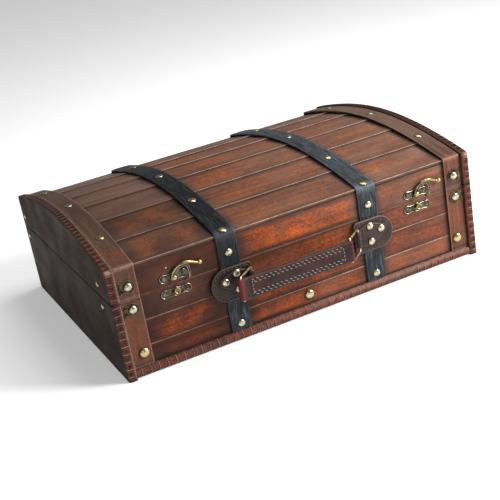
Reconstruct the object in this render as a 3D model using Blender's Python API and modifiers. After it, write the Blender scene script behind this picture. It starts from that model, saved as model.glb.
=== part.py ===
"""Wooden box with an arched lid, built of planks between two solid end panels.

It has leather straps, a leather handle on two wire rings, two hook latches and
two hinges at the back. Units are metres. +X runs along the box, -Y is the front
and +Z is up. The origin is the middle of the footprint, on the resting plane.
"""

import math

import bmesh
import bpy
from mathutils import Vector

# Overall sizes
WIDTH = 0.420
DEPTH = 0.317
END_HEIGHT = 0.119
ARCH_RISE = 0.022
ARCH_SHOULDER_SHARE = 0.132
SEAM_HEIGHT = 0.0835
SEAM_GAP = 0.0005
CLEARANCE = 0.0003
OVERRUN = 0.002
SINK = 0.0006

# Boards and planks
END_PANEL_THICKNESS = 0.0095
BOARD_THICKNESS = 0.0105
BOARD_SETBACK = 0.0005
PLANK_THICKNESS = 0.006
PLANK_SETBACK = 0.006
PLANK_ROW_SHARES = (0.267, 0.367, 0.366)
PLANK_EDGE = 0.0006
PANEL_EDGE = 0.0010

# Lid slats, each lower at its back edge than at its front edge
SLAT_WIDTH_SHARES = (0.1508, 0.1607, 0.1607, 0.1607, 0.1607, 0.2064)
SLAT_THICKNESS = 0.0035
SLAT_DROP = 0.0040
SLAT_STEP = 0.0016
SLAT_EDGE = 0.0005
ARCH_SEGMENTS = 20

# Straps and the wooden strips beside the end panels
STRIP_WIDTH = 0.021
STRIP_THICKNESS = 0.0022
STRAP_WIDTH = 0.0227
STRAP_THICKNESS = 0.0020
STRAP_CENTRE_SHARE = 0.8809

# Studs
STUD_RADIUS = 0.0043
STUD_HEIGHT = 0.0022
STUD_RIM = 0.0002
BIG_STUD_RADIUS = 0.0052
BIG_STUD_HEIGHT = 0.0032
SIDE_STUD_RADIUS = 0.0030
SIDE_STUD_HEIGHT = 0.0014
STUD_SHANK_RADIUS = 0.0012
STUD_TURN_STEPS = 12
LID_STUD_SHARE = 0.365
BASE_STUD_SHARE = 0.852
LOW_STUD_SHARE = 0.189
STRAP_LOW_STUD_SHARE = 0.100
LOW_STUD_INSET = 0.0020
CENTRE_STUD_SHARE = 0.54
STRAP_TOP_STUD_SHARES = (-0.945, -0.505, 0.057, 0.612)
STRIP_TOP_STUD_SHARES = (-0.606, 0.019, 0.650)
SIDE_STUD_SHARES = (-0.79, 0.90)

# Bronze patches under the studs beside the end panels, with their wide side outwards.
# Their outline is (outwards, up), as shares of half a strip's width.
PATCH_THICKNESS = 0.0006
PATCH_OUTLINE_SHARES = (
    (-0.69, 0.00),
    (-0.63, 0.24),
    (-0.46, 0.47),
    (-0.08, 0.68),
    (0.26, 0.60),
    (0.53, 0.49),
    (0.70, 0.53),
    (0.84, 0.66),
    (0.98, 0.73),
)

# Hook latches
LATCH_GAP_SHARE = 0.0477
PIVOT_ABOVE_SEAM = 0.0065
LATCH_REACH = 0.0135
PLATE_ABOVE_PIVOT = 0.0008
KEEPER_BELOW_KNOB = 0.0018
PLATE_THICKNESS = 0.0008
PLATE_LOBE_RADIUS = 0.0042
LOBE_WAIST = 0.0023
DISC_WAIST = 0.0018
PLATE_CENTRE_RADIUS = 0.0048
UPPER_SCREW_OFFSET = 0.0107
KEEPER_SCREW_OFFSET = 0.0120
SCREW_HEAD_RADIUS = 0.0021
SCREW_HEAD_HEIGHT = 0.0005
PIVOT_SHANK_RADIUS = 0.0013
PIVOT_HEAD_RADIUS = 0.0026
PIVOT_HEAD_HEIGHT = 0.0016
KNOB_STEM_RADIUS = 0.0015
KNOB_HEAD_RADIUS = 0.0031
KNOB_HEAD_HEIGHT = 0.0020
HOOK_THICKNESS = 0.0012
HOOK_BALL_RADIUS = 0.0017
CLAW_CLEARANCE = 0.0005
CLAW_HALF_WIDTH = 0.0012

# The hook's middle line and half width, as shares of the claw's middle radius
HOOK_PATH_SHARES = (
    (-0.05, -0.12, 0.150),
    (-0.01, 0.16, 0.150),
    (0.12, 0.37, 0.138),
    (0.43, 0.59, 0.132),
    (0.76, 0.655, 0.128),
    (0.955, 0.43, 0.092),
    (1.000, 0.05, 0.072),
    (0.955, -0.31, 0.052),
)
HORN_PATH_SHARES = (
    (0.66, 0.70, 0.110),
    (0.95, 0.755, 0.098),
    (1.24, 0.62, 0.076),
    (1.50, 0.49, 0.064),
    (1.73, 0.455, 0.062),
)
PATH_STEPS = 3

# Leather plates behind the handle, their tabs, the rings and the handle
PAD_INNER_REACH = 0.0210
PAD_OUTER_REACH = 0.0255
PAD_CENTRE_HEIGHT = 0.0635
PAD_HEIGHT = 0.036
PAD_THICKNESS = 0.0038
PAD_CORNER = 0.004
PAD_EDGE = 0.0006
TAB_THICKNESS = 0.0016
TAB_CORNER = 0.0030
TAB_STUD_HEIGHT = 0.0020
TAB_STUD_SHARES = ((0.45, 0.29), (0.83, 0.115), (0.45, -0.19))
TAB_LENGTH = 0.0347
TAB_OUTLINE_SHARES = ((0.0, -0.25), (0.0, 0.25), (0.42, 0.42), (1.0, 0.21), (1.0, 0.02), (0.42, -0.33))
TAB_BARREL_RADIUS = 0.0029
TAB_BARREL_LENGTH = 0.018
RING_HINGE_INSET = 0.0187
RING_HINGE_PROUD = 0.0013
RING_REACH = 0.0282
RING_HEIGHT = 0.0255
RING_WIRE_RADIUS = 0.00115
RING_CORNER = 0.0024
RING_CORNER_STEPS = 3
RING_REST_DEGREES = 48.9
RING_CENTRE_HEIGHT = 0.0637
HANDLE_THICKNESS = 0.0045
HANDLE_LOOP_RADIUS = 0.0032
HANDLE_HOLE_PLAY = 0.0005
HANDLE_EDGE = 0.0010

# Hinges at the back
HINGE_WIDTH = 0.040
HINGE_LEAF_HEIGHT = 0.016
HINGE_LEAF_THICKNESS = 0.0012
HINGE_MIDDLE_SHARE = 0.39
KNUCKLE_RADIUS = 0.0026
KNUCKLE_PROUD = 0.0007
HINGE_PIN_RADIUS = 0.0010

ROUND_STEPS = 16
SCREW_TURN_STEPS = 8
BALL_TURN_STEPS = 10
BALL_RINGS = 6
ARC_STEPS = 6
DOME_STEPS = 3
WELD = 0.000001
FLAT_ANGLE = 0.001
SMOOTH_DEGREES = 35
BEVEL_DEGREES = 40
SIDES = (("left", -1), ("right", 1))

INNER_X = WIDTH / 2 - END_PANEL_THICKNESS - CLEARANCE
PLANK_FACE = DEPTH / 2 - PLANK_SETBACK
LID_BOTTOM = SEAM_HEIGHT + SEAM_GAP / 2
BASE_TOP = SEAM_HEIGHT - SEAM_GAP / 2
BOARD_TOP = BOARD_THICKNESS + CLEARANCE
STRIP_CENTRE = INNER_X - STRIP_WIDTH / 2
PIVOT_HEIGHT = SEAM_HEIGHT + PIVOT_ABOVE_SEAM
KNOB_HEIGHT = PIVOT_HEIGHT - LATCH_REACH
CLAW_RADIUS = LATCH_REACH + KNOB_STEM_RADIUS + CLAW_CLEARANCE + CLAW_HALF_WIDTH
STRIP_INNER = INNER_X - STRIP_WIDTH

# Along the front, the straps and latches share out the length that the fittings leave free
HORN_REACH = HORN_PATH_SHARES[-1][0] * CLAW_RADIUS + HOOK_BALL_RADIUS
FREE_LENGTH = STRIP_INNER - PAD_OUTER_REACH - 2 * HORN_REACH
STRAP_CENTRE = FREE_LENGTH * STRAP_CENTRE_SHARE
PAD_INNER = STRAP_CENTRE - PAD_INNER_REACH
PAD_OUTER = STRAP_CENTRE + PAD_OUTER_REACH
LATCH_CENTRE = PAD_OUTER + FREE_LENGTH * LATCH_GAP_SHARE + HORN_REACH
RING_HINGE_OFFSET = STRAP_CENTRE - RING_HINGE_INSET
HINGE_CENTRE = (STRAP_CENTRE + STRAP_WIDTH / 2 + STRIP_INNER) / 2
RING_HINGE_Y = -DEPTH / 2 - RING_HINGE_PROUD
RING_REST = math.radians(RING_REST_DEGREES)
RING_LEAN = Vector((-math.sin(RING_REST), -math.cos(RING_REST), 0)) * RING_REACH
HANDLE_HEIGHT = RING_HEIGHT - 2 * RING_WIRE_RADIUS - 2 * CLEARANCE
KNUCKLE_Y = DEPTH / 2 + KNUCKLE_PROUD
STRIP_FACE = PLANK_FACE + CLEARANCE + STRIP_THICKNESS
STRAP_FACE = PLANK_FACE + CLEARANCE + STRAP_THICKNESS

COLOURS = {
    "panel_wood": ((0.045, 0.028, 0.020), 0.55, 0.0),
    "plank_wood": ((0.155, 0.045, 0.018), 0.42, 0.0),
    "slat_wood": ((0.130, 0.055, 0.030), 0.48, 0.0),
    "strip_wood": ((0.085, 0.045, 0.025), 0.50, 0.0),
    "strap_leather": ((0.018, 0.021, 0.026), 0.45, 0.0),
    "handle_leather": ((0.050, 0.025, 0.025), 0.50, 0.0),
    "stud_brass": ((0.420, 0.310, 0.140), 0.30, 1.0),
    "bronze": ((0.190, 0.140, 0.080), 0.38, 1.0),
}


# Scene, groups and materials


def clear_scene():
    for item in list(bpy.data.objects):
        bpy.data.objects.remove(item, do_unlink=True)


def new_collection(name):
    collection = bpy.data.collections.new(name)
    bpy.context.scene.collection.children.link(collection)
    return collection


def new_group(name, location, parent=None):
    """An empty on a joint's axis, which carries that body's pieces."""
    group = bpy.data.objects.new(name, None)
    group.empty_display_size = STUD_RADIUS
    PARTS.objects.link(group)
    if parent:
        group.parent = parent
        group.location = Vector(location) - world_place(parent)
    else:
        group.location = location
    return group


def world_place(group):
    place = Vector(group.location)
    while group.parent:
        group = group.parent
        place += group.location
    return place


def give_material(item, kind):
    colour, roughness, metallic = COLOURS[kind]
    material = bpy.data.materials.new(item.name + "_" + kind)
    material.use_nodes = True
    shader = material.node_tree.nodes["Principled BSDF"]
    shader.inputs["Base Color"].default_value = (*colour, 1)
    shader.inputs["Roughness"].default_value = roughness
    shader.inputs["Metallic"].default_value = metallic
    item.data.materials.clear()
    item.data.materials.append(material)


def add_piece(item, kind, group, smooth=False):
    """Puts a piece in the parts collection, under its group, where it already stands."""
    PARTS.objects.link(item)
    item.parent = group
    item.location = item.location - world_place(group)
    give_material(item, kind)
    if smooth:
        shade_round(item)
    return item


def add_tool(item):
    """Keeps a cutting or joining shape out of the render."""
    TOOLS.objects.link(item)
    item.hide_render = True
    item.display_type = "WIRE"
    return item


def shade_round(item):
    if item.type == "MESH":
        item.data.shade_smooth()
        item.data.set_sharp_from_angle(angle=math.radians(SMOOTH_DEGREES))
    else:
        for spline in item.data.splines:
            spline.use_smooth = True


# Shapes


def box_shape(name, low, high):
    low, high = Vector(low), Vector(high)
    mesh = bpy.data.meshes.new(name)
    work = bmesh.new()
    bmesh.ops.create_cube(work, size=1)
    bmesh.ops.scale(work, vec=high - low, verts=work.verts)
    work.to_mesh(mesh)
    work.free()
    item = bpy.data.objects.new(name, mesh)
    item.location = (low + high) / 2
    return item


def cylinder_shape(name, radius, start, end, steps=ROUND_STEPS):
    """A closed cylinder from one point to another."""
    start, end = Vector(start), Vector(end)
    mesh = bpy.data.meshes.new(name)
    work = bmesh.new()
    bmesh.ops.create_cone(
        work, cap_ends=True, segments=steps, radius1=radius, radius2=radius, depth=(end - start).length
    )
    work.to_mesh(mesh)
    work.free()
    item = bpy.data.objects.new(name, mesh)
    item.location = (start + end) / 2
    item.rotation_euler = turn_to(end - start)
    return item


def turn_to(direction):
    return Vector((0, 0, 1)).rotation_difference(Vector(direction)).to_euler()


def turned_shape(name, profile, place, direction, steps=STUD_TURN_STEPS):
    """A profile of (radius, height) points, top to bottom, turned about its height."""
    mesh = bpy.data.meshes.new(name)
    points = [(radius, 0, height) for radius, height in profile]
    edges = [(i, i + 1) for i in range(len(points) - 1)]
    mesh.from_pydata(points, edges, [])
    item = bpy.data.objects.new(name, mesh)
    screw = item.modifiers.new("turn", "SCREW")
    screw.steps = steps
    screw.render_steps = steps
    screw.use_merge_vertices = True
    screw.merge_threshold = WELD
    screw.use_smooth_shade = True
    item.location = place
    item.rotation_euler = turn_to(direction)
    return item


def outline_shape(name, points, axis, low, high):
    """A flat outline, extruded along one world axis from low to high, as a welded mesh.

    Across X the outline is (y, z), across Y it is (x, z) and across Z it is (x, y).
    """
    curve = bpy.data.curves.new(name + "_outline", "CURVE")
    curve.dimensions = "2D"
    curve.fill_mode = "BOTH"
    curve.extrude = (high - low) / 2
    spline = curve.splines.new("POLY")
    spline.points.add(len(points) - 1)
    for point, (across, up) in zip(spline.points, points):
        point.co = (across, up, 0, 1)
    spline.use_cyclic_u = True
    item = bpy.data.objects.new(name + "_outline", curve)
    middle = (low + high) / 2
    turns = {"X": (math.pi / 2, 0, math.pi / 2), "Y": (math.pi / 2, 0, 0), "Z": (0, 0, 0)}
    places = {"X": (middle, 0, 0), "Y": (0, middle, 0), "Z": (0, 0, middle)}
    item.rotation_euler = turns[axis]
    item.location = places[axis]
    return mesh_from(item, name)


def mesh_from(item, name):
    """A welded mesh object from a curve object, which it replaces."""
    TOOLS.objects.link(item)
    bpy.context.view_layer.update()
    graph = bpy.context.evaluated_depsgraph_get()
    mesh = bpy.data.meshes.new_from_object(item.evaluated_get(graph))
    mesh.name = name
    work = bmesh.new()
    work.from_mesh(mesh)
    bmesh.ops.remove_doubles(work, verts=work.verts, dist=WELD)
    bmesh.ops.dissolve_limit(work, angle_limit=FLAT_ANGLE, verts=work.verts, edges=work.edges)
    bmesh.ops.recalc_face_normals(work, faces=work.faces)
    work.to_mesh(mesh)
    work.free()
    solid = bpy.data.objects.new(name, mesh)
    solid.matrix_world = item.matrix_world
    bpy.data.objects.remove(item, do_unlink=True)
    return solid


def round_edges(item, width, segments=1):
    bevel = item.modifiers.new("rounded_edges", "BEVEL")
    bevel.width = width
    bevel.segments = segments
    bevel.limit_method = "ANGLE"
    bevel.angle_limit = math.radians(BEVEL_DEGREES)


def join(item, tool):
    boolean = item.modifiers.new("join_" + tool.name, "BOOLEAN")
    boolean.operation = "UNION"
    boolean.solver = "EXACT"
    boolean.object = add_tool(tool)


def cut(item, tool):
    boolean = item.modifiers.new("cut_" + tool.name, "BOOLEAN")
    boolean.operation = "DIFFERENCE"
    boolean.solver = "EXACT"
    boolean.object = add_tool(tool)


# Outlines


def arc(centre, radius, start, end, steps=ARC_STEPS):
    """Points on an arc, from one angle to another, in radians."""
    angles = [start + (end - start) * i / steps for i in range(steps + 1)]
    return [(centre[0] + radius * math.cos(a), centre[1] + radius * math.sin(a)) for a in angles]


def rounded_outline(corners, radii):
    """An outline whose corners are rounded, each by its own radius."""
    points = []
    count = len(corners)
    for i, radius in enumerate(radii):
        here = Vector(corners[i])
        back = (Vector(corners[i - 1]) - here).normalized()
        ahead = (Vector(corners[(i + 1) % count]) - here).normalized()
        if radius == 0:
            points.append(tuple(here))
            continue
        half = back.angle(ahead) / 2
        centre = here + (back + ahead).normalized() * (radius / math.sin(half))
        first = here + back * (radius / math.tan(half)) - centre
        last = here + ahead * (radius / math.tan(half)) - centre
        start = math.atan2(first.y, first.x)
        sweep = (math.atan2(last.y, last.x) - start + math.pi) % (2 * math.pi) - math.pi
        points += arc(centre, radius, start, start + sweep)
    return points


def arch_height(y, drop=0.0):
    """Height of the end panels' arched edge at y, less a drop."""
    share = min(1, (2 * y / DEPTH) ** 2)
    return END_HEIGHT + ARCH_RISE * (1 - share) * (1 - ARCH_SHOULDER_SHARE * share) - drop


def arch_normal(y):
    step = OVERRUN
    slope = (arch_height(y + step) - arch_height(y - step)) / (2 * step)
    return Vector((0, -slope, 1)).normalized()


def arch_line(half_depth, drop):
    """Points (y, z) along the arch from front to back, between plus and minus half_depth."""
    ys = [half_depth * (2 * i / ARCH_SEGMENTS - 1) for i in range(ARCH_SEGMENTS + 1)]
    return [(y, arch_height(y, drop)) for y in ys]


def smooth_path(points):
    """Catmull-Rom samples through points of any dimension."""
    points = [Vector(point) for point in points]
    padded = [2 * points[0] - points[1]] + points + [2 * points[-1] - points[-2]]
    out = []
    for i in range(1, len(padded) - 2):
        a, b, c, d = padded[i - 1 : i + 3]
        for step in range(PATH_STEPS):
            t = step / PATH_STEPS
            out.append(
                (2 * b + (c - a) * t + (2 * a - 5 * b + 4 * c - d) * t**2 + (3 * b - a - 3 * c + d) * t**3) / 2
            )
    return out + [points[-1]]


def stroke_outline(shares, scale):
    """The outline of a line of changing width: each share is (x, z, half width)."""
    path = [point * scale for point in smooth_path(shares)]
    left = []
    right = []
    for i, point in enumerate(path):
        ahead = path[min(i + 1, len(path) - 1)]
        behind = path[max(i - 1, 0)]
        along = Vector((ahead.x - behind.x, ahead.y - behind.y)).normalized()
        side = Vector((-along.y, along.x)) * point.z
        middle = Vector((point.x, point.y))
        left.append(tuple(middle + side))
        right.append(tuple(middle - side))
    return left + right[::-1]


def lobed_outline(centre, screw_offset):
    """A plate outline with a round lobe at each screw and a larger disc at its middle."""
    lobe = math.asin(LOBE_WAIST / PLATE_LOBE_RADIUS)
    disc = math.asin(DISC_WAIST / PLATE_CENTRE_RADIUS)
    x, z = centre
    right = (x + screw_offset, z)
    left = (x - screw_offset, z)
    points = arc(right, PLATE_LOBE_RADIUS, lobe - math.pi, math.pi - lobe, 2 * ARC_STEPS)
    points += arc(centre, PLATE_CENTRE_RADIUS, disc, math.pi - disc)
    points += arc(left, PLATE_LOBE_RADIUS, lobe, 2 * math.pi - lobe, 2 * ARC_STEPS)
    points += arc(centre, PLATE_CENTRE_RADIUS, math.pi + disc, 2 * math.pi - disc)
    return points


def patch_outline(centre, side):
    """A fan with a dip in its upper and lower edge, wide towards the end panel."""
    upper = [Vector(share) for share in PATCH_OUTLINE_SHARES]
    lower = [Vector((share.x, -share.y)) for share in upper[:0:-1]]
    scale = STRIP_WIDTH / 2
    return [(centre[0] + side * share.x * scale, centre[1] + share.y * scale) for share in upper + lower]


# Studs


def dome_profile(radius, height, rim=0.0):
    """Points of a dome from its top to its rim, whose height is rim."""
    steps = [math.pi / 2 * i / DOME_STEPS for i in range(DOME_STEPS + 1)]
    return [(radius * math.sin(a), rim + (height - rim) * math.cos(a)) for a in steps]


def stud_shape(name, radius, height, place, direction, lift=0.0):
    """A domed stud. With a lift, its head stands off the surface on a shank."""
    if lift:
        profile = dome_profile(radius, height)
        profile += [(STUD_SHANK_RADIUS, 0), (STUD_SHANK_RADIUS, -lift - SINK), (0, -lift - SINK)]
    else:
        profile = dome_profile(radius, height, STUD_RIM)
        profile += [(radius, -SINK), (0, -SINK)]
    along = Vector(direction).normalized()
    return turned_shape(name, profile, Vector(place) + along * lift, along)


def add_studs(item, places, radius=STUD_RADIUS, height=STUD_HEIGHT, lift=0.0):
    """Joins studs to a piece: each place is (point on its face, outward direction)."""
    for i, (place, direction) in enumerate(places):
        tool = stud_shape(f"{item.name}_stud_{len(item.modifiers)}_{i}", radius, height, place, direction, lift)
        join(item, tool)


def share_height(low, high, share):
    return low + (high - low) * share


# Base


def build_base_shell():
    for name, side in SIDES:
        outer = side * WIDTH / 2
        inner = side * (WIDTH / 2 - END_PANEL_THICKNESS)
        panel = box_shape(
            "base_end_panel_" + name,
            (min(outer, inner), -DEPTH / 2, 0),
            (max(outer, inner), DEPTH / 2, BASE_TOP),
        )
        round_edges(panel, PANEL_EDGE)
        height = share_height(BOARD_TOP, BASE_TOP, BASE_STUD_SHARE)
        places = [((outer, share * DEPTH / 2, height), (side, 0, 0)) for share in SIDE_STUD_SHARES]
        add_studs(panel, places, SIDE_STUD_RADIUS, SIDE_STUD_HEIGHT)
        add_piece(panel, "panel_wood", BASE)
    board_edge = DEPTH / 2 - BOARD_SETBACK
    board = box_shape("base_bottom_board", (-INNER_X, -board_edge, 0), (INNER_X, board_edge, BOARD_THICKNESS))
    round_edges(board, PANEL_EDGE)
    add_piece(board, "plank_wood", BASE)


def plank_rows():
    """The low and high edge of each row of planks, with a clearance between rows."""
    height = BASE_TOP - BOARD_TOP
    rows = []
    low = BOARD_TOP
    for share in PLANK_ROW_SHARES:
        rows.append((low, low + height * share - CLEARANCE))
        low += height * share
    rows[-1] = (rows[-1][0], BASE_TOP)
    return rows


def build_base_planks():
    for face, side in (("front", -1), ("back", 1)):
        outer = side * PLANK_FACE
        inner = side * (PLANK_FACE - PLANK_THICKNESS)
        for row, (low, high) in zip(("lower", "middle", "upper"), plank_rows()):
            plank = box_shape(
                f"base_{face}_plank_{row}",
                (-INNER_X, min(outer, inner), low),
                (INNER_X, max(outer, inner), high),
            )
            round_edges(plank, PLANK_EDGE)
            if (face, row) == ("front", "lower"):
                build_centre_stud(plank, share_height(low, high, CENTRE_STUD_SHARE))
            add_piece(plank, "plank_wood", BASE)


def build_centre_stud(plank, height):
    """The brass nail low in the middle of the front, with its shank in a hole."""
    profile = dome_profile(STUD_RADIUS, STUD_HEIGHT)
    profile += [(STUD_SHANK_RADIUS, 0), (STUD_SHANK_RADIUS, -PLANK_THICKNESS), (0, -PLANK_THICKNESS)]
    stud = turned_shape("front_centre_stud", profile, (0, -PLANK_FACE - CLEARANCE, height), (0, -1, 0))
    add_piece(stud, "stud_brass", BASE)
    hole = cylinder_shape(
        "centre_stud_hole",
        STUD_SHANK_RADIUS + CLEARANCE,
        (0, -PLANK_FACE - OVERRUN, height),
        (0, OVERRUN + PLANK_THICKNESS - PLANK_FACE, height),
    )
    cut(plank, hole)


def build_base_strips():
    """The wooden strips beside the end panels and the leather straps, below the seam."""
    for face, out in (("front", -1), ("back", 1)):
        for name, side in SIDES:
            strip = base_cover(f"base_stile_{face}_{name}", side * STRIP_CENTRE, STRIP_WIDTH, out, STRIP_FACE)
            upper = (side * STRIP_CENTRE, out * STRIP_FACE, share_height(BOARD_TOP, BASE_TOP, BASE_STUD_SHARE))
            low_x = side * (STRIP_CENTRE - LOW_STUD_INSET)
            low = (low_x, out * STRIP_FACE, share_height(BOARD_TOP, BASE_TOP, LOW_STUD_SHARE))
            lift = PATCH_THICKNESS + 2 * CLEARANCE if face == "front" else 0
            add_studs(strip, [(upper, (0, out, 0))], lift=lift)
            add_studs(strip, [(low, (0, out, 0))], BIG_STUD_RADIUS, BIG_STUD_HEIGHT)
            add_piece(strip, "strip_wood", BASE)
            strap = base_cover(f"base_strap_{face}_{name}", side * STRAP_CENTRE, STRAP_WIDTH, out, STRAP_FACE)
            low = (side * STRAP_CENTRE, out * STRAP_FACE, share_height(BOARD_TOP, BASE_TOP, STRAP_LOW_STUD_SHARE))
            add_studs(strap, [(low, (0, out, 0))])
            add_piece(strap, "strap_leather", BASE)
            if face == "front":
                build_patch("base_stud_patch_" + name, side, upper[2], BASE)


def base_cover(name, centre, width, out, face):
    """A flat strip over the planks of the base, from the bottom board to the seam."""
    under = PLANK_FACE + CLEARANCE
    return box_shape(
        name,
        (centre - width / 2, min(out * face, out * under), BOARD_TOP),
        (centre + width / 2, max(out * face, out * under), BASE_TOP),
    )


def build_patch(name, side, height, group):
    """A scalloped bronze plate with a hole, behind a stud's head."""
    under = -STRIP_FACE - CLEARANCE
    outline = patch_outline((side * STRIP_CENTRE, height), side)
    patch = outline_shape(name, outline, "Y", under - PATCH_THICKNESS, under)
    hole = cylinder_shape(
        name + "_hole",
        STUD_SHANK_RADIUS + CLEARANCE,
        (side * STRIP_CENTRE, under - PATCH_THICKNESS - OVERRUN, height),
        (side * STRIP_CENTRE, under + OVERRUN, height),
    )
    cut(patch, hole)
    add_piece(patch, "bronze", group)


# Lid


def build_lid_ends():
    for name, side in SIDES:
        outer = side * WIDTH / 2
        inner = side * (WIDTH / 2 - END_PANEL_THICKNESS)
        outline = [(-DEPTH / 2, LID_BOTTOM)] + arch_line(DEPTH / 2, 0) + [(DEPTH / 2, LID_BOTTOM)]
        panel = outline_shape("lid_end_panel_" + name, outline, "X", min(outer, inner), max(outer, inner))
        round_edges(panel, PANEL_EDGE)
        height = share_height(LID_BOTTOM, END_HEIGHT, LID_STUD_SHARE)
        places = [((outer, share * DEPTH / 2, height), (side, 0, 0)) for share in SIDE_STUD_SHARES]
        add_studs(panel, places, SIDE_STUD_RADIUS, SIDE_STUD_HEIGHT)
        add_piece(panel, "panel_wood", LID)


def slat_edges():
    """The y of each slat's front and back edge, with a clearance between slats."""
    seams = [-PLANK_FACE]
    for share in SLAT_WIDTH_SHARES:
        seams.append(seams[-1] + 2 * PLANK_FACE * share)
    return [(low, high - CLEARANCE) for low, high in zip(seams, seams[1:])]


def build_slats():
    for number, (front, back) in enumerate(slat_edges(), 1):
        front_top = arch_height(front, SLAT_DROP)
        back_top = arch_height(back, SLAT_DROP + SLAT_STEP)
        outline = [
            (front, front_top),
            (front, front_top - SLAT_THICKNESS),
            (back, back_top - SLAT_THICKNESS),
            (back, back_top),
        ]
        slat = outline_shape(f"lid_slat_{number}", outline, "X", -INNER_X, INNER_X)
        round_edges(slat, SLAT_EDGE)
        add_piece(slat, "slat_wood", LID)


def build_aprons():
    front_top = arch_height(PLANK_FACE, SLAT_DROP + SLAT_THICKNESS + CLEARANCE)
    back_top = arch_height(PLANK_FACE, SLAT_DROP + SLAT_STEP + SLAT_THICKNESS + CLEARANCE)
    for face, out, top in (("front", -1, front_top), ("back", 1, back_top)):
        outer = out * PLANK_FACE
        inner = out * (PLANK_FACE - PLANK_THICKNESS)
        apron = box_shape(
            f"lid_{face}_plank", (-INNER_X, min(outer, inner), LID_BOTTOM), (INNER_X, max(outer, inner), top)
        )
        round_edges(apron, PLANK_EDGE)
        add_piece(apron, "plank_wood", LID)


def lid_cover(name, centre, width, thickness):
    """A strip that runs up the lid's front, over its slats and down its back."""
    under = PLANK_FACE + CLEARANCE
    face = under + thickness
    under_drop = SLAT_DROP - CLEARANCE
    outer = arch_line(face, under_drop - thickness)
    inner = arch_line(under, under_drop)
    outline = [(-face, LID_BOTTOM)] + outer + [(face, LID_BOTTOM)]
    outline += [(under, LID_BOTTOM)] + inner[::-1] + [(-under, LID_BOTTOM)]
    return outline_shape(name, outline, "X", centre - width / 2, centre + width / 2)


def build_lid_covers():
    stud_height = share_height(LID_BOTTOM, END_HEIGHT, LID_STUD_SHARE)
    kinds = (
        ("lid_end_strip_", STRIP_CENTRE, STRIP_WIDTH, STRIP_THICKNESS, STRIP_TOP_STUD_SHARES, "strip_wood"),
        ("lid_strap_", STRAP_CENTRE, STRAP_WIDTH, STRAP_THICKNESS, STRAP_TOP_STUD_SHARES, "strap_leather"),
    )
    for start, centre, width, thickness, shares, kind in kinds:
        for name, side in SIDES:
            cover = lid_cover(start + name, side * centre, width, thickness)
            face = PLANK_FACE + CLEARANCE + thickness
            drop = SLAT_DROP - CLEARANCE - thickness
            lift = PATCH_THICKNESS + 2 * CLEARANCE if kind == "strip_wood" else 0
            add_studs(cover, [((side * centre, -face, stud_height), (0, -1, 0))], lift=lift)
            places = [((side * centre, face, stud_height), (0, 1, 0))]
            for share in shares:
                y = share * DEPTH / 2
                places.append(((side * centre, y, arch_height(y, drop)), arch_normal(y)))
            add_studs(cover, places)
            add_piece(cover, kind, LID)
    for name, side in SIDES:
        build_patch("lid_stud_patch_" + name, side, stud_height, LID)


# Latches


def build_latches():
    plate_back = -PLANK_FACE - CLEARANCE
    plate_front = plate_back - PLATE_THICKNESS
    hook_back = plate_front - SCREW_HEAD_HEIGHT - CLEARANCE
    head_under = SCREW_HEAD_HEIGHT + 2 * CLEARANCE + HOOK_THICKNESS
    for name, side in SIDES:
        x = side * LATCH_CENTRE
        plate_centre = (x, PIVOT_HEIGHT + PLATE_ABOVE_PIVOT)
        plate = outline_shape(
            "latch_plate_" + name, lobed_outline(plate_centre, UPPER_SCREW_OFFSET), "Y", plate_front, plate_back
        )
        add_screw_heads(plate, plate_centre, UPPER_SCREW_OFFSET, plate_front)
        rivet = headed_pin(PIVOT_SHANK_RADIUS, PIVOT_HEAD_RADIUS, PIVOT_HEAD_HEIGHT, head_under)
        join(plate, turned_shape("pivot_" + name, rivet, (x, plate_front, PIVOT_HEIGHT), (0, -1, 0)))
        add_piece(plate, "bronze", LID)

        keeper_centre = (x, KNOB_HEIGHT - KEEPER_BELOW_KNOB)
        keeper = outline_shape(
            "latch_keeper_" + name, lobed_outline(keeper_centre, KEEPER_SCREW_OFFSET), "Y", plate_front, plate_back
        )
        add_screw_heads(keeper, keeper_centre, KEEPER_SCREW_OFFSET, plate_front)
        knob = headed_pin(KNOB_STEM_RADIUS, KNOB_HEAD_RADIUS, KNOB_HEAD_HEIGHT, head_under)
        join(keeper, turned_shape("knob_" + name, knob, (x, plate_front, KNOB_HEIGHT), (0, -1, 0)))
        add_piece(keeper, "bronze", BASE)
        build_hook(name, x, hook_back)


def headed_pin(shank_radius, head_radius, head_height, head_under):
    """Profile of a shank that starts inside a plate and ends in a domed head."""
    head = [(radius, head_under + height) for radius, height in dome_profile(head_radius, head_height)]
    return head + [(shank_radius, head_under), (shank_radius, -PLATE_THICKNESS / 2), (0, -PLATE_THICKNESS / 2)]


def add_screw_heads(plate, centre, offset, face):
    profile = dome_profile(SCREW_HEAD_RADIUS, SCREW_HEAD_HEIGHT, STUD_RIM)
    profile += [(SCREW_HEAD_RADIUS, -PLATE_THICKNESS / 2), (0, -PLATE_THICKNESS / 2)]
    for end in (-1, 1):
        place = (centre[0] + end * offset, face, centre[1])
        join(plate, turned_shape(f"{plate.name}_screw_{end + 1}", profile, place, (0, -1, 0), SCREW_TURN_STEPS))


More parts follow.
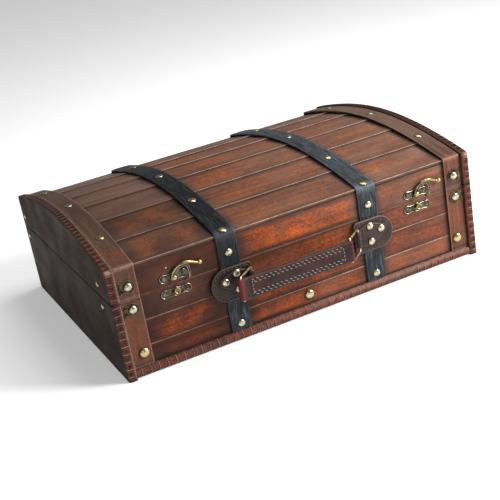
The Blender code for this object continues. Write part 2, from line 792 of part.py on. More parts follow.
def build_hook(name, x, back):
    """The hook in its open position: its claw swings down round the knob."""
    pivot = Vector((x, 0, PIVOT_HEIGHT))
    front = back - HOOK_THICKNESS
    group = new_group("latch_" + name, (x, (front + back) / 2, PIVOT_HEIGHT), LID)
    hook = outline_shape("latch_hook_" + name, placed(HOOK_PATH_SHARES, pivot), "Y", front, back)
    horn = outline_shape("horn_" + name, placed(HORN_PATH_SHARES, pivot), "Y", front, back)
    join(hook, horn)
    tip = HORN_PATH_SHARES[-1]
    ball_place = (x + tip[0] * CLAW_RADIUS, (front + back) / 2, PIVOT_HEIGHT + tip[1] * CLAW_RADIUS)
    join(hook, ball_shape("ball_" + name, HOOK_BALL_RADIUS, ball_place))
    hole = cylinder_shape(
        "pivot_hole_" + name,
        PIVOT_SHANK_RADIUS + CLEARANCE,
        (x, front - OVERRUN, PIVOT_HEIGHT),
        (x, back + OVERRUN, PIVOT_HEIGHT),
    )
    cut(hook, hole)
    add_piece(hook, "bronze", group)


def placed(shares, pivot):
    outline = stroke_outline(shares, CLAW_RADIUS)
    return [(pivot.x + across, pivot.z + up) for across, up in outline]


def ball_shape(name, radius, place):
    mesh = bpy.data.meshes.new(name)
    work = bmesh.new()
    bmesh.ops.create_uvsphere(work, u_segments=BALL_TURN_STEPS, v_segments=BALL_RINGS, radius=radius)
    work.to_mesh(mesh)
    work.free()
    item = bpy.data.objects.new(name, mesh)
    item.location = place
    return item


# Handle


def build_handle_mounts():
    pad_back = -PLANK_FACE - CLEARANCE
    pad_front = pad_back - PAD_THICKNESS
    for name, side in SIDES:
        pad = outline_shape("handle_plate_" + name, pad_outline(side), "Y", pad_front, pad_back)
        round_edges(pad, PAD_EDGE)
        half = STRAP_WIDTH / 2 + CLEARANCE
        channel = box_shape(
            "channel_" + name,
            (side * STRAP_CENTRE - half, -STRAP_FACE - CLEARANCE, PAD_CENTRE_HEIGHT - PAD_HEIGHT),
            (side * STRAP_CENTRE + half, pad_back + OVERRUN, PAD_CENTRE_HEIGHT + PAD_HEIGHT),
        )
        cut(pad, channel)
        add_piece(pad, "handle_leather", BASE)
        build_tab(name, side, pad_front - CLEARANCE)


def pad_outline(side):
    """A plate with a straight inner side and a half-round outer side."""
    low = PAD_CENTRE_HEIGHT - PAD_HEIGHT / 2
    high = PAD_CENTRE_HEIGHT + PAD_HEIGHT / 2
    corners = [(PAD_INNER, high), (PAD_INNER, low), (PAD_OUTER, low), (PAD_OUTER, high)]
    wide = PAD_HEIGHT / 2 - CLEARANCE
    points = rounded_outline(corners, (PAD_CORNER, PAD_CORNER, wide, wide))
    return [(side * x, z) for x, z in points]


def build_tab(name, side, back):
    """The tab that holds a ring: a plate with three studs and a barrel round the ring's bar."""
    front = back - TAB_THICKNESS
    corners = [
        (side * (RING_HINGE_OFFSET + across * TAB_LENGTH), RING_CENTRE_HEIGHT + up * PAD_HEIGHT)
        for across, up in TAB_OUTLINE_SHARES
    ]
    outline = rounded_outline(corners, (0, 0) + (TAB_CORNER,) * 4)
    tab = outline_shape("handle_tab_" + name, outline, "Y", front, back)
    places = []
    for across, up in TAB_STUD_SHARES:
        x = side * (RING_HINGE_OFFSET + across * TAB_LENGTH)
        places.append(((x, front, RING_CENTRE_HEIGHT + up * PAD_HEIGHT), (0, -1, 0)))
    add_studs(tab, places, STUD_RADIUS, TAB_STUD_HEIGHT)
    x = side * RING_HINGE_OFFSET
    half = TAB_BARREL_LENGTH / 2
    barrel = cylinder_shape(
        "barrel_" + name,
        TAB_BARREL_RADIUS,
        (x, RING_HINGE_Y, RING_CENTRE_HEIGHT - half),
        (x, RING_HINGE_Y, RING_CENTRE_HEIGHT + half),
    )
    join(tab, barrel)
    bore = cylinder_shape(
        "bore_" + name,
        RING_WIRE_RADIUS + CLEARANCE,
        (x, RING_HINGE_Y, RING_CENTRE_HEIGHT - half - OVERRUN),
        (x, RING_HINGE_Y, RING_CENTRE_HEIGHT + half + OVERRUN),
    )
    cut(tab, bore)
    add_piece(tab, "handle_leather", BASE)


def build_rings():
    """A closed wire ring on each tab, both leaning the same way."""
    groups = {}
    for name, side in SIDES:
        place = (side * RING_HINGE_OFFSET, RING_HINGE_Y, RING_CENTRE_HEIGHT)
        group = new_group("ring_" + name, place, BASE)
        half = RING_HEIGHT / 2
        corners = [(0, -half), (RING_REACH, -half), (RING_REACH, half), (0, half)]
        curve = bpy.data.curves.new("handle_ring_" + name, "CURVE")
        curve.dimensions = "3D"
        curve.bevel_depth = RING_WIRE_RADIUS
        curve.bevel_resolution = 2
        spline = curve.splines.new("POLY")
        points = ring_points(corners)
        spline.points.add(len(points) - 1)
        for point, (reach, up) in zip(spline.points, points):
            point.co = (reach, 0, up, 1)
        spline.use_cyclic_u = True
        ring = bpy.data.objects.new("handle_ring_" + name, curve)
        ring.rotation_euler = (0, 0, math.atan2(RING_LEAN.y, RING_LEAN.x))
        ring.location = place
        add_piece(ring, "stud_brass", group, smooth=True)
        groups[name] = group
    return groups


def ring_points(corners):
    """The ring's middle line, with short arcs at its corners."""
    points = []
    centres = [(RING_CORNER, 1), (-RING_CORNER, 1), (-RING_CORNER, -1), (RING_CORNER, -1)]
    for i, ((x, z), (inset, up)) in enumerate(zip(corners, centres)):
        start = math.pi + i * math.pi / 2
        centre = (x + inset, z + up * RING_CORNER)
        points += arc(centre, RING_CORNER, start, start + math.pi / 2, RING_CORNER_STEPS)
    return points


def build_grip(ring_group):
    """The leather handle, with a loop at each end round a ring's outer bar."""
    left = Vector((-RING_HINGE_OFFSET, RING_HINGE_Y, RING_CENTRE_HEIGHT)) + RING_LEAN
    right = left + Vector((2 * RING_HINGE_OFFSET, 0, 0))
    group = new_group("grip", left, ring_group)
    half = HANDLE_HEIGHT / 2
    grip = box_shape(
        "handle_grip",
        (left.x, left.y - HANDLE_THICKNESS / 2, left.z - half),
        (right.x, left.y + HANDLE_THICKNESS / 2, left.z + half),
    )
    round_edges(grip, HANDLE_EDGE)
    up = Vector((0, 0, half))
    for name, bar in (("left", left), ("right", right)):
        join(grip, cylinder_shape("loop_" + name, HANDLE_LOOP_RADIUS, bar - up, bar + up))
        hole_radius = RING_WIRE_RADIUS + HANDLE_HOLE_PLAY
        past = Vector((0, 0, OVERRUN))
        cut(grip, cylinder_shape("loop_hole_" + name, hole_radius, bar - up - past, bar + up + past))
    add_piece(grip, "handle_leather", group)


# Hinges


def build_hinges():
    half = HINGE_WIDTH / 2
    middle = half * HINGE_MIDDLE_SHARE
    for name, side in SIDES:
        x = side * HINGE_CENTRE
        build_leaf("hinge_lid_leaf_" + name, x, 1, [(-middle, middle)], LID)
        outer = middle + CLEARANCE
        build_leaf("hinge_base_leaf_" + name, x, -1, [(-half, -outer), (outer, half)], BASE)
        pin = cylinder_shape(
            "hinge_pin_" + name,
            HINGE_PIN_RADIUS,
            (x - half, KNUCKLE_Y, SEAM_HEIGHT),
            (x + half, KNUCKLE_Y, SEAM_HEIGHT),
        )
        add_piece(pin, "bronze", BASE, smooth=True)


def build_leaf(name, x, up, knuckles, group):
    """A leaf on the back planks, cranked out along the seam to its knuckles."""
    near = SEAM_HEIGHT + up * SEAM_GAP / 2
    far = near + up * HINGE_LEAF_HEIGHT
    web = near + up * HINGE_LEAF_THICKNESS
    under = PLANK_FACE + CLEARANCE
    face = under + HINGE_LEAF_THICKNESS
    half = HINGE_WIDTH / 2
    leaf = box_shape(name, (x - half, under, min(near, far)), (x + half, face, max(near, far)))
    for i, (start, end) in enumerate(knuckles):
        arm = box_shape(
            f"{name}_web_{i}",
            (x + start + CLEARANCE, under + CLEARANCE, min(near, web)),
            (x + end - CLEARANCE, KNUCKLE_Y + KNUCKLE_RADIUS / 2, max(near, web)),
        )
        join(leaf, arm)
        knuckle = cylinder_shape(
            f"{name}_knuckle_{i}",
            KNUCKLE_RADIUS,
            (x + start, KNUCKLE_Y, SEAM_HEIGHT),
            (x + end, KNUCKLE_Y, SEAM_HEIGHT),
        )
        join(leaf, knuckle)
    bore = cylinder_shape(
        name + "_bore",
        HINGE_PIN_RADIUS + CLEARANCE,
        (x - half - OVERRUN, KNUCKLE_Y, SEAM_HEIGHT),
        (x + half + OVERRUN, KNUCKLE_Y, SEAM_HEIGHT),
    )
    cut(leaf, bore)
    add_piece(leaf, "bronze", group)


clear_scene()
PARTS = new_collection("wooden_box")
TOOLS = new_collection("cutters")
BASE = new_group("base", (0, 0, 0))
LID = new_group("lid", (0, KNUCKLE_Y, SEAM_HEIGHT), BASE)

build_base_shell()
build_base_planks()
build_base_strips()
build_lid_ends()
build_slats()
build_aprons()
build_lid_covers()
build_latches()
build_handle_mounts()
build_grip(build_rings()["left"])
build_hinges()
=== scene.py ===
"""Dressed model of the wooden box with an arched lid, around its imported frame.

Units are metres, and millimetres where a note says so. +X runs along the box, -Y is the front
and +Z is up.
"""

import math

import bmesh
import bpy
import numpy as np
from mathutils import Matrix, Vector, noise


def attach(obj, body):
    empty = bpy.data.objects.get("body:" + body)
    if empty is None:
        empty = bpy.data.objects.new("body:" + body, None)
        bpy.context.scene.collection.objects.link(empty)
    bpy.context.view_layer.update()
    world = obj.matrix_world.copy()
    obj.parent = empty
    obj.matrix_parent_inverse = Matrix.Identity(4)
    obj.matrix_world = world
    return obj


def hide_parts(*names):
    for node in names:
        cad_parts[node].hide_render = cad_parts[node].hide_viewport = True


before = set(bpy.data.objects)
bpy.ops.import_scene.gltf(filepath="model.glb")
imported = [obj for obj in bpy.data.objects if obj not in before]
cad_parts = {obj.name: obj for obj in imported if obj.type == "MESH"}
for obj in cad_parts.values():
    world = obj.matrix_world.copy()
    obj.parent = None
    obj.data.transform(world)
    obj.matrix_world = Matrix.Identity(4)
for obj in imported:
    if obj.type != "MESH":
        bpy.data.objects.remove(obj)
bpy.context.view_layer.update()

MM = 0.001
# Sizes of the box, as in the frame
WIDTH = 0.42
DEPTH = 0.317
HALF_DEPTH = DEPTH / 2
END_HEIGHT = 0.119
ARCH_RISE = 0.022
ARCH_SHOULDER = 0.132
PANEL = 0.0095
INNER_X = 0.2002
BOARD = 0.0105
BOARD_EDGE = 0.158
BOARD_TOP = 0.0108
BASE_TOP = 0.08325
LID_BOTTOM = 0.08375
SEAM = 0.0835
GAP = 0.0003
PLANK_FACE = 0.1525
PLANK_BACKING = PLANK_FACE + GAP
PLANK = 0.006
SLAT_SEAMS = (-0.1525, -0.1065, -0.0575, -0.0085, 0.0406, 0.0896, 0.1525)
SLAT = 0.0035
SLAT_DROP = 0.004
SLAT_STEP = 0.0016
STRIP_WIDTH = 0.021
STRIP = 0.0022
STRIP_X = 0.1897
STRAP_WIDTH = 0.0227
STRAP = 0.002
STRAP_X = 0.0815
STRIP_FACE = PLANK_BACKING + STRIP
STRAP_FACE = PLANK_BACKING + STRAP
LATCH_X = 0.142
PIVOT_Z = 0.09
KNOB_Z = 0.0765
CLAW = 0.0167
RING_X = 0.0628
RING_Y = -0.1598
RING_Z = 0.0637
RING_LEAN = Vector((-0.02125, -0.01854, 0))
SIDES = (("left", -1), ("right", 1))
FACES = (("front", -1), ("back", 1))
FRONT = (0, -1, 0)
BACK = (0, 1, 0)
BAYS = ((-0.1792, -0.0929), (-0.0702, 0.0702), (0.0929, 0.1792))


# Meshes

PLAIN = (0, 0, 0, 0)
BOX_FACES = ((0, 1, 2, 3), (4, 5, 6, 7), (0, 1, 5, 4), (1, 2, 6, 5), (2, 3, 7, 6), (3, 0, 4, 7))


class Shape:
    """Points, faces and tones gathered for one piece. A tone is (glow, light, dark, seed)."""

    def __init__(self):
        self.points, self.faces, self.tones = [], [], []

    def add(self, points, faces, tones=None):
        start = len(self.points)
        self.points += [tuple(point) for point in points]
        self.faces += [tuple(start + i for i in face) for face in faces]
        self.tones += tones or [PLAIN] * len(points)

    def add_rings(self, rings, closed=False):
        """Faces between rings of (point, tone), all of one length and closed on themselves."""
        size = len(rings[0])
        count = len(rings)
        faces = []
        for row in range(count if closed else count - 1):
            here = row * size
            ahead = (row + 1) % count * size
            for i in range(size):
                j = (i + 1) % size
                faces.append((here + i, here + j, ahead + j, ahead + i))
        if not closed:
            faces += [range(size)[::-1], range((count - 1) * size, count * size)]
        points, tones = zip(*(pair for ring in rings for pair in ring))
        self.add(points, faces, list(tones))


def add_item(name, data):
    item = bpy.data.objects.new(name, data)
    bpy.context.scene.collection.objects.link(item)
    return item


def build(shape, name, body, finish, replaces=None, angle=40):
    """Makes a piece of a shape. A finish is (slot, material)."""
    slot, material = finish
    mesh = bpy.data.meshes.new(name)
    mesh.from_pydata(shape.points, [], shape.faces)
    tone = mesh.attributes.new("tone", "FLOAT_COLOR", "POINT")
    tone.data.foreach_set("color", np.array(shape.tones, np.float32).ravel())
    work = bmesh.new()
    work.from_mesh(mesh)
    bmesh.ops.recalc_face_normals(work, faces=work.faces)
    work.to_mesh(mesh)
    work.free()
    mesh.shade_smooth()
    mesh.set_sharp_from_angle(angle=math.radians(angle))
    mesh.materials.append(material)
    item = add_item(name, mesh)
    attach(item, body)
    if replaces:
        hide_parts(replaces)


def smooth(value):
    value = min(1, max(0, value))
    return value * value * (3 - 2 * value)


def bell(value, width):
    return math.exp(-((value / width) ** 2))


def ripple(*place):
    """Smooth noise between about -1 and 1."""
    return noise.noise(Vector(place))


def arch(y, drop=0):
    share = min(1, (2 * y / DEPTH) ** 2)
    return END_HEIGHT + ARCH_RISE * (1 - share) * (1 - ARCH_SHOULDER * share) - drop


def arch_slope(y):
    return (arch(y + 0.001) - arch(y - 0.001)) / 0.002


def area(points):
    """Twice the area of a closed outline, above 0 if it runs counter-clockwise."""
    return sum(a[0] * b[1] - b[0] * a[1] for a, b in zip(points, points[1:] + points[:1]))


def turn(points):
    return points if area(points) > 0 else points[::-1]


def lengths_of(line):
    """The distance from the start of a line to each of its points."""
    return np.concatenate([[0], np.cumsum(np.linalg.norm(np.diff(line, axis=0), axis=1))])


def point_on(line, lengths, distance):
    return (np.interp(distance, lengths, line[:, 0]), np.interp(distance, lengths, line[:, 1]))


def normals(points):
    """Inward normals of a closed counter-clockwise outline, longer at its corners."""
    line = np.array(points, float)
    ahead = np.roll(line, -1, 0) - line
    ahead /= np.maximum(np.linalg.norm(ahead, axis=1), 1e-9)[:, None]
    along = ahead + np.roll(ahead, 1, 0)
    along /= np.maximum(np.linalg.norm(along, axis=1), 1e-9)[:, None]
    inward = np.stack([-along[:, 1], along[:, 0]], 1)
    square = (inward * np.stack([-ahead[:, 1], ahead[:, 0]], 1)).sum(1)
    return inward / np.maximum(square, 0.6)[:, None]


def inset(points, distance):
    return np.array(points, float) + normals(points) * distance


def bend(first, corner, last, steps=7):
    """The points between first and last on a curve that is drawn to a corner."""
    out = []
    for i in range(1, steps):
        t = i / steps
        a, b, c = (1 - t) ** 2, 2 * t * (1 - t), t * t
        out.append(tuple(a * u + b * v + c * w for u, v, w in zip(first, corner, last)))
    return out


def turns(steps):
    return [2 * math.pi * i / steps for i in range(steps)]


def arc(centre, radius, start, end, steps=8):
    angles = [start + (end - start) * i / steps for i in range(steps + 1)]
    return [(centre[0] + radius * math.cos(a), centre[1] + radius * math.sin(a)) for a in angles]


def rounded(corners, radii, steps=8):
    """An outline whose corners are rounded, each by its own radius."""
    points = []
    for i, radius in enumerate(radii):
        here = Vector(corners[i])
        if radius == 0:
            points.append(tuple(here))
            continue
        back = (Vector(corners[i - 1]) - here).normalized()
        ahead = (Vector(corners[(i + 1) % len(corners)]) - here).normalized()
        half = back.angle(ahead) / 2
        centre = here + (back + ahead).normalized() * (radius / math.sin(half))
        first = here + back * (radius / math.tan(half)) - centre
        last = here + ahead * (radius / math.tan(half)) - centre
        start = math.atan2(first.y, first.x)
        sweep = (math.atan2(last.y, last.x) - start + math.pi) % (2 * math.pi) - math.pi
        points += arc(centre, radius, start, start + sweep, steps)
    return points


def spline(points, steps=5):
    """Smooth samples through points."""
    points = [Vector(point) for point in points]
    padded = [2 * points[0] - points[1]] + points + [2 * points[-1] - points[-2]]
    out = []
    for a, b, c, d in zip(padded, padded[1:], padded[2:], padded[3:]):
        for step in range(steps):
            t = step / steps
            curve = (2 * a - 5 * b + 4 * c - d) * t**2 + (3 * b - a - 3 * c + d) * t**3
            out.append((2 * b + (c - a) * t + curve) / 2)
    return out + [points[-1]]


def resample(points, step):
    """Points at even distances along a closed outline."""
    line = np.array(points + [points[0]], float)
    lengths = lengths_of(line)
    count = max(8, int(lengths[-1] / step))
    return [point_on(line, lengths, i * lengths[-1] / count) for i in range(count)]


def place_on(out, face):
    """Puts (x, z) and a height on a face that looks to the front, with out -1, or to the back."""
    return lambda across, up, height: (across, out * (face + height), up)


def add_plate(shape, outline, profile, place, seed=0, crown=0, darker=0):
    """Stacks insets of an outline. The profile is (inset in mm, height in mm, light, dark)."""
    outline = turn(outline)
    rings = []
    for inwards, height, light, dark in profile:
        line = inset(outline, inwards * MM)
        tone = (0, light, max(0, min(1, dark + darker)), seed)
        rings.append([(place(u, v, height * MM), tone) for u, v in line])
    if crown:
        middle = line.mean(0)
        for share in (0.85, 0.6, 0.3, 0.1):
            rise = height * MM + crown * (1 - share**2)
            inner = middle + (line - middle) * share
            rings.append([(place(u, v, rise), (0, 0, darker, seed)) for u, v in inner])
    shape.add_rings(rings)


def frame_of(direction):
    direction = Vector(direction).normalized()
    side = direction.orthogonal().normalized()
    return side, direction.cross(side), direction


def add_turned(shape, profile, place, direction, steps=20, seed=0, glow=0, painted_under_shade=0):
    """A profile of (radius, height, dark), turned about a direction.

    The last argument is painted shade: how much darker the points on the side that looks down are.
    """
    side, up, along = frame_of(direction)
    place = Vector(place)
    widest = max(radius for radius, _, _ in profile)
    rings = []
    for radius, height, dark in profile:
        ring = []
        for a in turns(steps):
            offset = (side * math.cos(a) + up * math.sin(a)) * radius
            painted_shade_below = painted_under_shade * max(0, -offset.z / widest) ** 1.5
            ring.append((place + offset + along * height, (glow, 0, min(1, dark + painted_shade_below), seed)))
        rings.append(ring)
    shape.add_rings(rings)


def add_tube(shape, path, radii, tones, sides=12, closed=False):
    """A round tube along a path, without twist, with a radius and a tone for each point."""
    count = len(path)
    side = None
    rings = []
    for i, (point, radius, tone) in enumerate(zip(path, radii, tones)):
        ahead = path[(i + 1) % count] if closed or i + 1 < count else point
        behind = path[i - 1] if closed or i else point
        along = (ahead - behind).normalized()
        if side is None:
            side = along.orthogonal().normalized()
        side = (side - along * side.dot(along)).normalized()
        up = along.cross(side)
        ring = [point + (side * math.cos(a) + up * math.sin(a)) * radius for a in turns(sides)]
        rings.append([(each, tone) for each in ring])
    shape.add_rings(rings, closed)


def add_sleeve(shape, section, steps, centre, along_x=False, glow=0, seed=0):
    """A tube with a bore along Z or X. The section is (radius, height, light, dark)."""
    x, y, z = centre
    rings = []
    for a in turns(steps):
        ring = []
        for radius, height, light, dark in section:
            u, v = radius * math.cos(a), radius * math.sin(a)
            place = (x + height, y + u, z + v) if along_x else (x + u, y + v, z + height)
            ring.append((place, (glow, light, dark, seed)))
        rings.append(ring)
    shape.add_rings(rings, closed=True)


def even_section(lower, half):
    """A sleeve's section, even about 0. Lower is its lower part, in mm and from its lower end."""
    low = [(radius * MM, rise * MM - half, *look) for radius, rise, *look in lower]
    high = [(radius, -height, *look) for radius, height, *look in low[::-1]]
    radius, _, *look = low[-1]
    return low + [(radius, 0, *look)] + high


def add_stitch(shape, middle, along, out, length):
    """One thread stitch: it rises from the leather, runs over it and dips back in."""
    along = Vector(along).normalized()
    out = Vector(out).normalized()
    path = []
    radii = []
    for i in range(7):
        t = i / 3 - 1
        lift = out * (STITCH_RADIUS * (0.55 - 0.9 * t * t))
        path.append(Vector(middle) + along * (length / 2 * t) + lift)
        radii.append(STITCH_RADIUS * (1 - 0.45 * t**4))
    add_tube(shape, path, radii, [PLAIN] * 7, 7)


# Finishes


def tint(text):
    """Linear colour from a six digit screen colour."""
    parts = [int(text[i : i + 2], 16) / 255 for i in (0, 2, 4)]
    return tuple(p / 12.92 if p <= 0.04045 else ((p + 0.055) / 1.055) ** 2.4 for p in parts) + (1,)


class Finish:
    """A node material for a slot, with short calls for the nodes that the finishes share."""

    def __init__(self, slot, name, roughness, metallic=0, coat=0, gloss=0.5):
        self.slot = slot
        self.material = bpy.data.materials.new(name)
        self.material.use_nodes = True
        self.tree = self.material.node_tree
        self.shader = self.tree.nodes["Principled BSDF"].inputs
        self.feed(
            self.shader, {"Metallic": metallic, "Roughness": roughness, "Specular IOR Level": gloss}
        )
        if coat:
            self.feed(self.shader, {"Coat Weight": coat, "Coat Roughness": 0.3})
        place = self.node("TexCoord")["Object"]
        tone = self.node("Attribute", attribute_name="tone")
        self.glow, self.light, self.dark = self.node("SeparateColor", {0: tone["Color"]})
        seed = self.node("VectorMath", {0: (7.3, 3.1, 5.7), 3: tone["Alpha"]}, operation="SCALE")[0]
        self.place = self.node("VectorMath", {0: place, 1: seed}, operation="ADD")[0]

    def feed(self, inputs, values):
        """Sets inputs, or links them where the value is another node's output."""
        for key, value in values.items():
            if isinstance(value, bpy.types.NodeSocket):
                self.tree.links.new(value, inputs[key])
            else:
                inputs[key].default_value = value

    def node(self, kind, values=None, **settings):
        """The outputs of a new node."""
        node = self.tree.nodes.new("ShaderNode" + kind)
        for key, value in settings.items():
            setattr(node, key, value)
        self.feed(node.inputs, values or {})
        return node.outputs

    def noise(self, stretch, detail, rough):
        """Noise whose cells have 1 / stretch metres on each axis."""
        place = self.node("VectorMath", {0: self.place, 1: stretch}, operation="MULTIPLY")[0]
        values = {"Vector": place, "Scale": 1, "Detail": detail, "Roughness": rough}
        return self.node("TexNoise", values)[0]

    def cells(self, scale):
        values = {"Vector": self.place, "Scale": scale}
        return self.node("TexVoronoi", values, feature="F1")["Distance"]

    def span(self, value, low, high, start=0, end=1):
        values = {0: value, 1: low, 2: high, 3: start, 4: end}
        return self.node("MapRange", values, interpolation_type="SMOOTHSTEP")[0]

    def maths(self, operation, first, second):
        return self.node("Math", {0: first, 1: second}, operation=operation, use_clamp=True)[0]

    def times(self, first, second):
        return self.maths("MULTIPLY", first, second)

    def plus(self, first, second):
        return self.maths("ADD", first, second)

    def mix(self, share, first, second):
        return self.node("Mix", {0: share, 6: first, 7: second}, data_type="RGBA")[2]

    def over(self, colour, value, low, high, share, ink):
        """Lays a share of ink over a colour, the more the further value goes from low to high."""
        return self.mix(self.times(self.span(value, low, high), share), colour, tint(ink))

    def finish(self, colour, height, strength, distance, roughness=None):
        bump = self.node("Bump", {0: strength, 1: distance, "Height": height})[0]
        self.feed(self.shader, {"Base Color": colour, "Normal": bump})
        if roughness is not None:
            self.feed(self.shader, {"Roughness": roughness})
        return self.slot, self.material


def wood(kind, stretch, colours, gloss=0.2, crackled=0.28, faded=0):
    """Stained wood with long grain, brush lines, worn light edges and burnt dark ones. The light
    also carries painted highlights and painted light, and the dark painted shade.

    The colours are dark, middle, two of the glow, worn and burnt.
    """
    dark, middle, glow, gleam, worn, burnt = colours.split()
    f = Finish(kind + "_wood", kind + "_finish", 0.45, gloss=gloss)
    grain = f.noise(stretch, 5, 0.62)
    fine = f.noise([6 * s for s in stretch], 3, 0.6)
    lines = f.noise([(2.2 if s > 40 else 0.3) * s for s in stretch], 2, 0.5)
    patches = f.noise((26, 26, 26), 3, 0.55)
    mottle = f.noise((150, 150, 150), 3, 0.6)
    spots = f.noise((420, 420, 420), 2, 0.6)
    clouds = f.noise((18, 26, 26), 2, 0.5)
    colour = f.mix(f.span(grain, 0.32, 0.68), tint(dark), tint(middle))
    lively = f.plus(f.times(grain, 0.4), f.times(spots, 0.6))
    lively = f.mix(f.span(lively, 0.38, 0.62), tint(glow), tint(gleam))
    colour = f.mix(f.times(f.glow, f.span(patches, 0.28, 0.6, 0.42, 1)), colour, lively)
    colour = f.over(colour, f.cells(430), 0.4, 0.8, crackled, dark)
    colour = f.over(colour, clouds, 0.48, 0.66, 0.46, "4a322b")
    if faded:
        colour = f.over(colour, f.noise((13, 42, 42), 2, 0.5), 0.5, 0.66, faded, "6b5340")
    colour = f.over(colour, mottle, 0.45, 0.7, 0.35, dark)
    colour = f.over(colour, fine, 0.42, 0.68, 0.34, dark)
    colour = f.over(colour, lines, 0.6, 0.72, 0.05, worn)
    colour = f.over(colour, lines, 0.4, 0.3, 0.15, burnt)
    # The dark is burn with painted shade, the light wear with painted highlights and painted light
    burn_and_painted_shade = f.times(f.dark, f.span(patches, 0.25, 0.6, 1, 0.6))
    wear_and_highlight = f.times(f.light, f.span(spots, 0.3, 0.62, 0.55, 1))
    colour = f.mix(wear_and_highlight, f.mix(burn_and_painted_shade, colour, tint(burnt)), tint(worn))
    height = f.plus(f.times(grain, 0.5), f.times(fine, 0.5))
    return f.finish(colour, height, 0.35, 0.0006, f.span(patches, 0.3, 0.7, 0.42, 0.58))


def leather(slot, name, colours, pebble, scratch, coat, roughness, gloss=0.2, scuff=(700, 90, 90)):
    """Leather with pores, scuffs and patches. Its glow is a wine red, its light is wear with
    painted highlights and painted light, and its dark darkens it, mostly as painted shade.

    The colours are dark, middle and worn.
    """
    dark, middle, worn = colours.split()
    f = Finish(slot, name, roughness, coat=coat, gloss=gloss)
    pores = f.cells(pebble)
    fine = f.noise((1500, 1500, 1500), 3, 0.6)
    patches = f.noise((60, 60, 60), 4, 0.6)
    scuffs = f.noise(scuff, 4, 0.65)
    colour = f.mix(f.span(patches, 0.32, 0.68), tint(dark), tint(middle))
    colour = f.over(colour, scuffs, 0.52, 0.66, scratch, worn)
    colour = f.mix(f.glow, colour, tint("5c2023"))
    colour = f.mix(f.times(f.light, f.span(fine, 0.3, 0.6, 0.4, 1)), colour, tint(worn))
    colour = f.mix(f.dark, colour, tint("0c0b0c"))
    height = f.plus(f.times(pores, 0.6), f.times(fine, 0.4))
    rough = f.span(scuffs, 0.3, 0.7, roughness - 0.08, roughness + 0.1)
    return f.finish(colour, height, 0.5, 0.0004, rough)


def metal(slot, name, colours, roughness):
    """Blotched metal. Its glow is golden, its light is a bright painted highlight, and its dark is
    patina with painted shade.

    The colours are bright, middle and patina.
    """
    bright, middle, patina = colours.split()
    f = Finish(slot, name, roughness, metallic=1)
    blotches = f.noise((260, 260, 260), 4, 0.6)
    specks = f.noise((1600, 1600, 1600), 2, 0.6)
    colour = f.mix(f.span(blotches, 0.35, 0.65), tint(middle), tint(bright))
    colour = f.mix(f.glow, colour, tint("b8a062"))
    # The dark mixes in patina together with painted shade
    patina_and_shade = f.plus(f.dark, f.times(f.span(specks, 0.58, 0.72), 0.35))
    colour = f.mix(f.light, f.mix(patina_and_shade, colour, tint(patina)), tint(bright))
    rough = f.span(blotches, 0.3, 0.7, roughness - 0.05, roughness + 0.12)
    return f.finish(colour, specks, 0.2, 0.0002, rough)


def thread(name, dark, light):
    f = Finish("handle_leather", name, 0.75)
    twist = f.noise((2600, 2600, 2600), 2, 0.6)
    shade = f.mix(f.span(twist, 0.35, 0.65), tint(dark), tint(light))
    return f.finish(f.mix(f.dark, shade, tint("1c1614")), twist, 0.5, 0.0002)


# Stretch of the grain along X, along Y, and along a strip that runs up the front and over the lid
ALONG_X = (9, 150, 150)
ALONG_Y = (150, 10, 150)
ALONG_STRIP = (190, 11, 11)
WOOD_PLANK = wood("plank", ALONG_X, "2c170f 623322 8a350a bd5818 c89a82 22120e", 0.13)
WOOD_SLAT = wood("slat", ALONG_X, "3c271c 6c4631 86401a ae5e29 bd988a 1f1511", faded=0.5)
WOOD_STRIP = wood("strip", ALONG_STRIP, "3d2a1f 664937 783219 944521 a08270 1d130f")
WOOD_PANEL = wood("panel", ALONG_Y, "241d18 3a2f28 43190f 6c2c1d b08a7c 0f0908", 0.02, 0.2)
WOOD_EDGE = ("plank_wood", WOOD_PANEL[1])
STRAP_SCUFFS = (1100, 45, 45)
STRAP_LEATHER = leather(
    "strap_leather", "strap_finish", "07080a 101215 727b85", 650, 0.42, 0, 0.44, 0.13, STRAP_SCUFFS
)
PAD_LEATHER = leather(
    "handle_leather", "plate_leather_finish", "1a1110 35231e 6e5850", 700, 0.2, 0.06, 0.46
)
HANDLE_LEATHER = leather(
    "handle_leather", "handle_finish", "1a0d0a 301814 5c413c", 900, 0.18, 0.03, 0.48
)
BRASS = metal("stud_brass", "stud_finish", "d3ccb2 a39a78 38301c", 0.24)
BRONZE = metal("bronze", "bronze_finish", "aba38c 4a4436 0d0c0a", 0.3)
PATCH_BRONZE = metal("bronze", "patch_finish", "6c6252 2a261f 0c0c09", 0.46)
RING_BRASS = metal("stud_brass", "ring_finish", "cdbf95 b0a072 55452a", 0.26)
THREAD = thread("thread_finish", "6f615b", "96877e")
DARK_THREAD = thread("dark_thread_finish", "332825", "5d4d48")


# Boards of the base and slats of the lid

COLUMNS = 135
EDGE_STEPS = (0.0017, 0.0032, 0.0055, 0.0085)
EDGE_ANGLES = [math.radians(angle) for angle in (0, 30, 60)]
NICK = 0.00022
WAVE = 0.00009
PLANK_RADII = (0.0006, 0.0007)
SLAT_RADII = (0.0006, 0.0004)
PLANK_FADE = 0.015
SLAT_FADE = 0.009


def bay_window(x, strengths, fade):
    """How strongly the wood glows at x, and how dark it is near the ends of its bay: burn with
    painted shadow beside the strips and straps.
    """
    for (low, high), strength in zip(BAYS, strengths):
        if low - 0.002 <= x <= high + 0.002:
            near = min(x - low, high - x)
            reach = fade * (2 if high < 0 else 1)
            return strength * smooth((near - 0.002) / reach), 1 - smooth((near + 0.001) / 0.0085)
    return 0, 0.8


def burnt_share(x, z, burns):
    nearness = (math.exp(-((x - u) ** 2 + (z - v) ** 2) / size**2) for u, v, size in burns)
    return max(nearness, default=0)


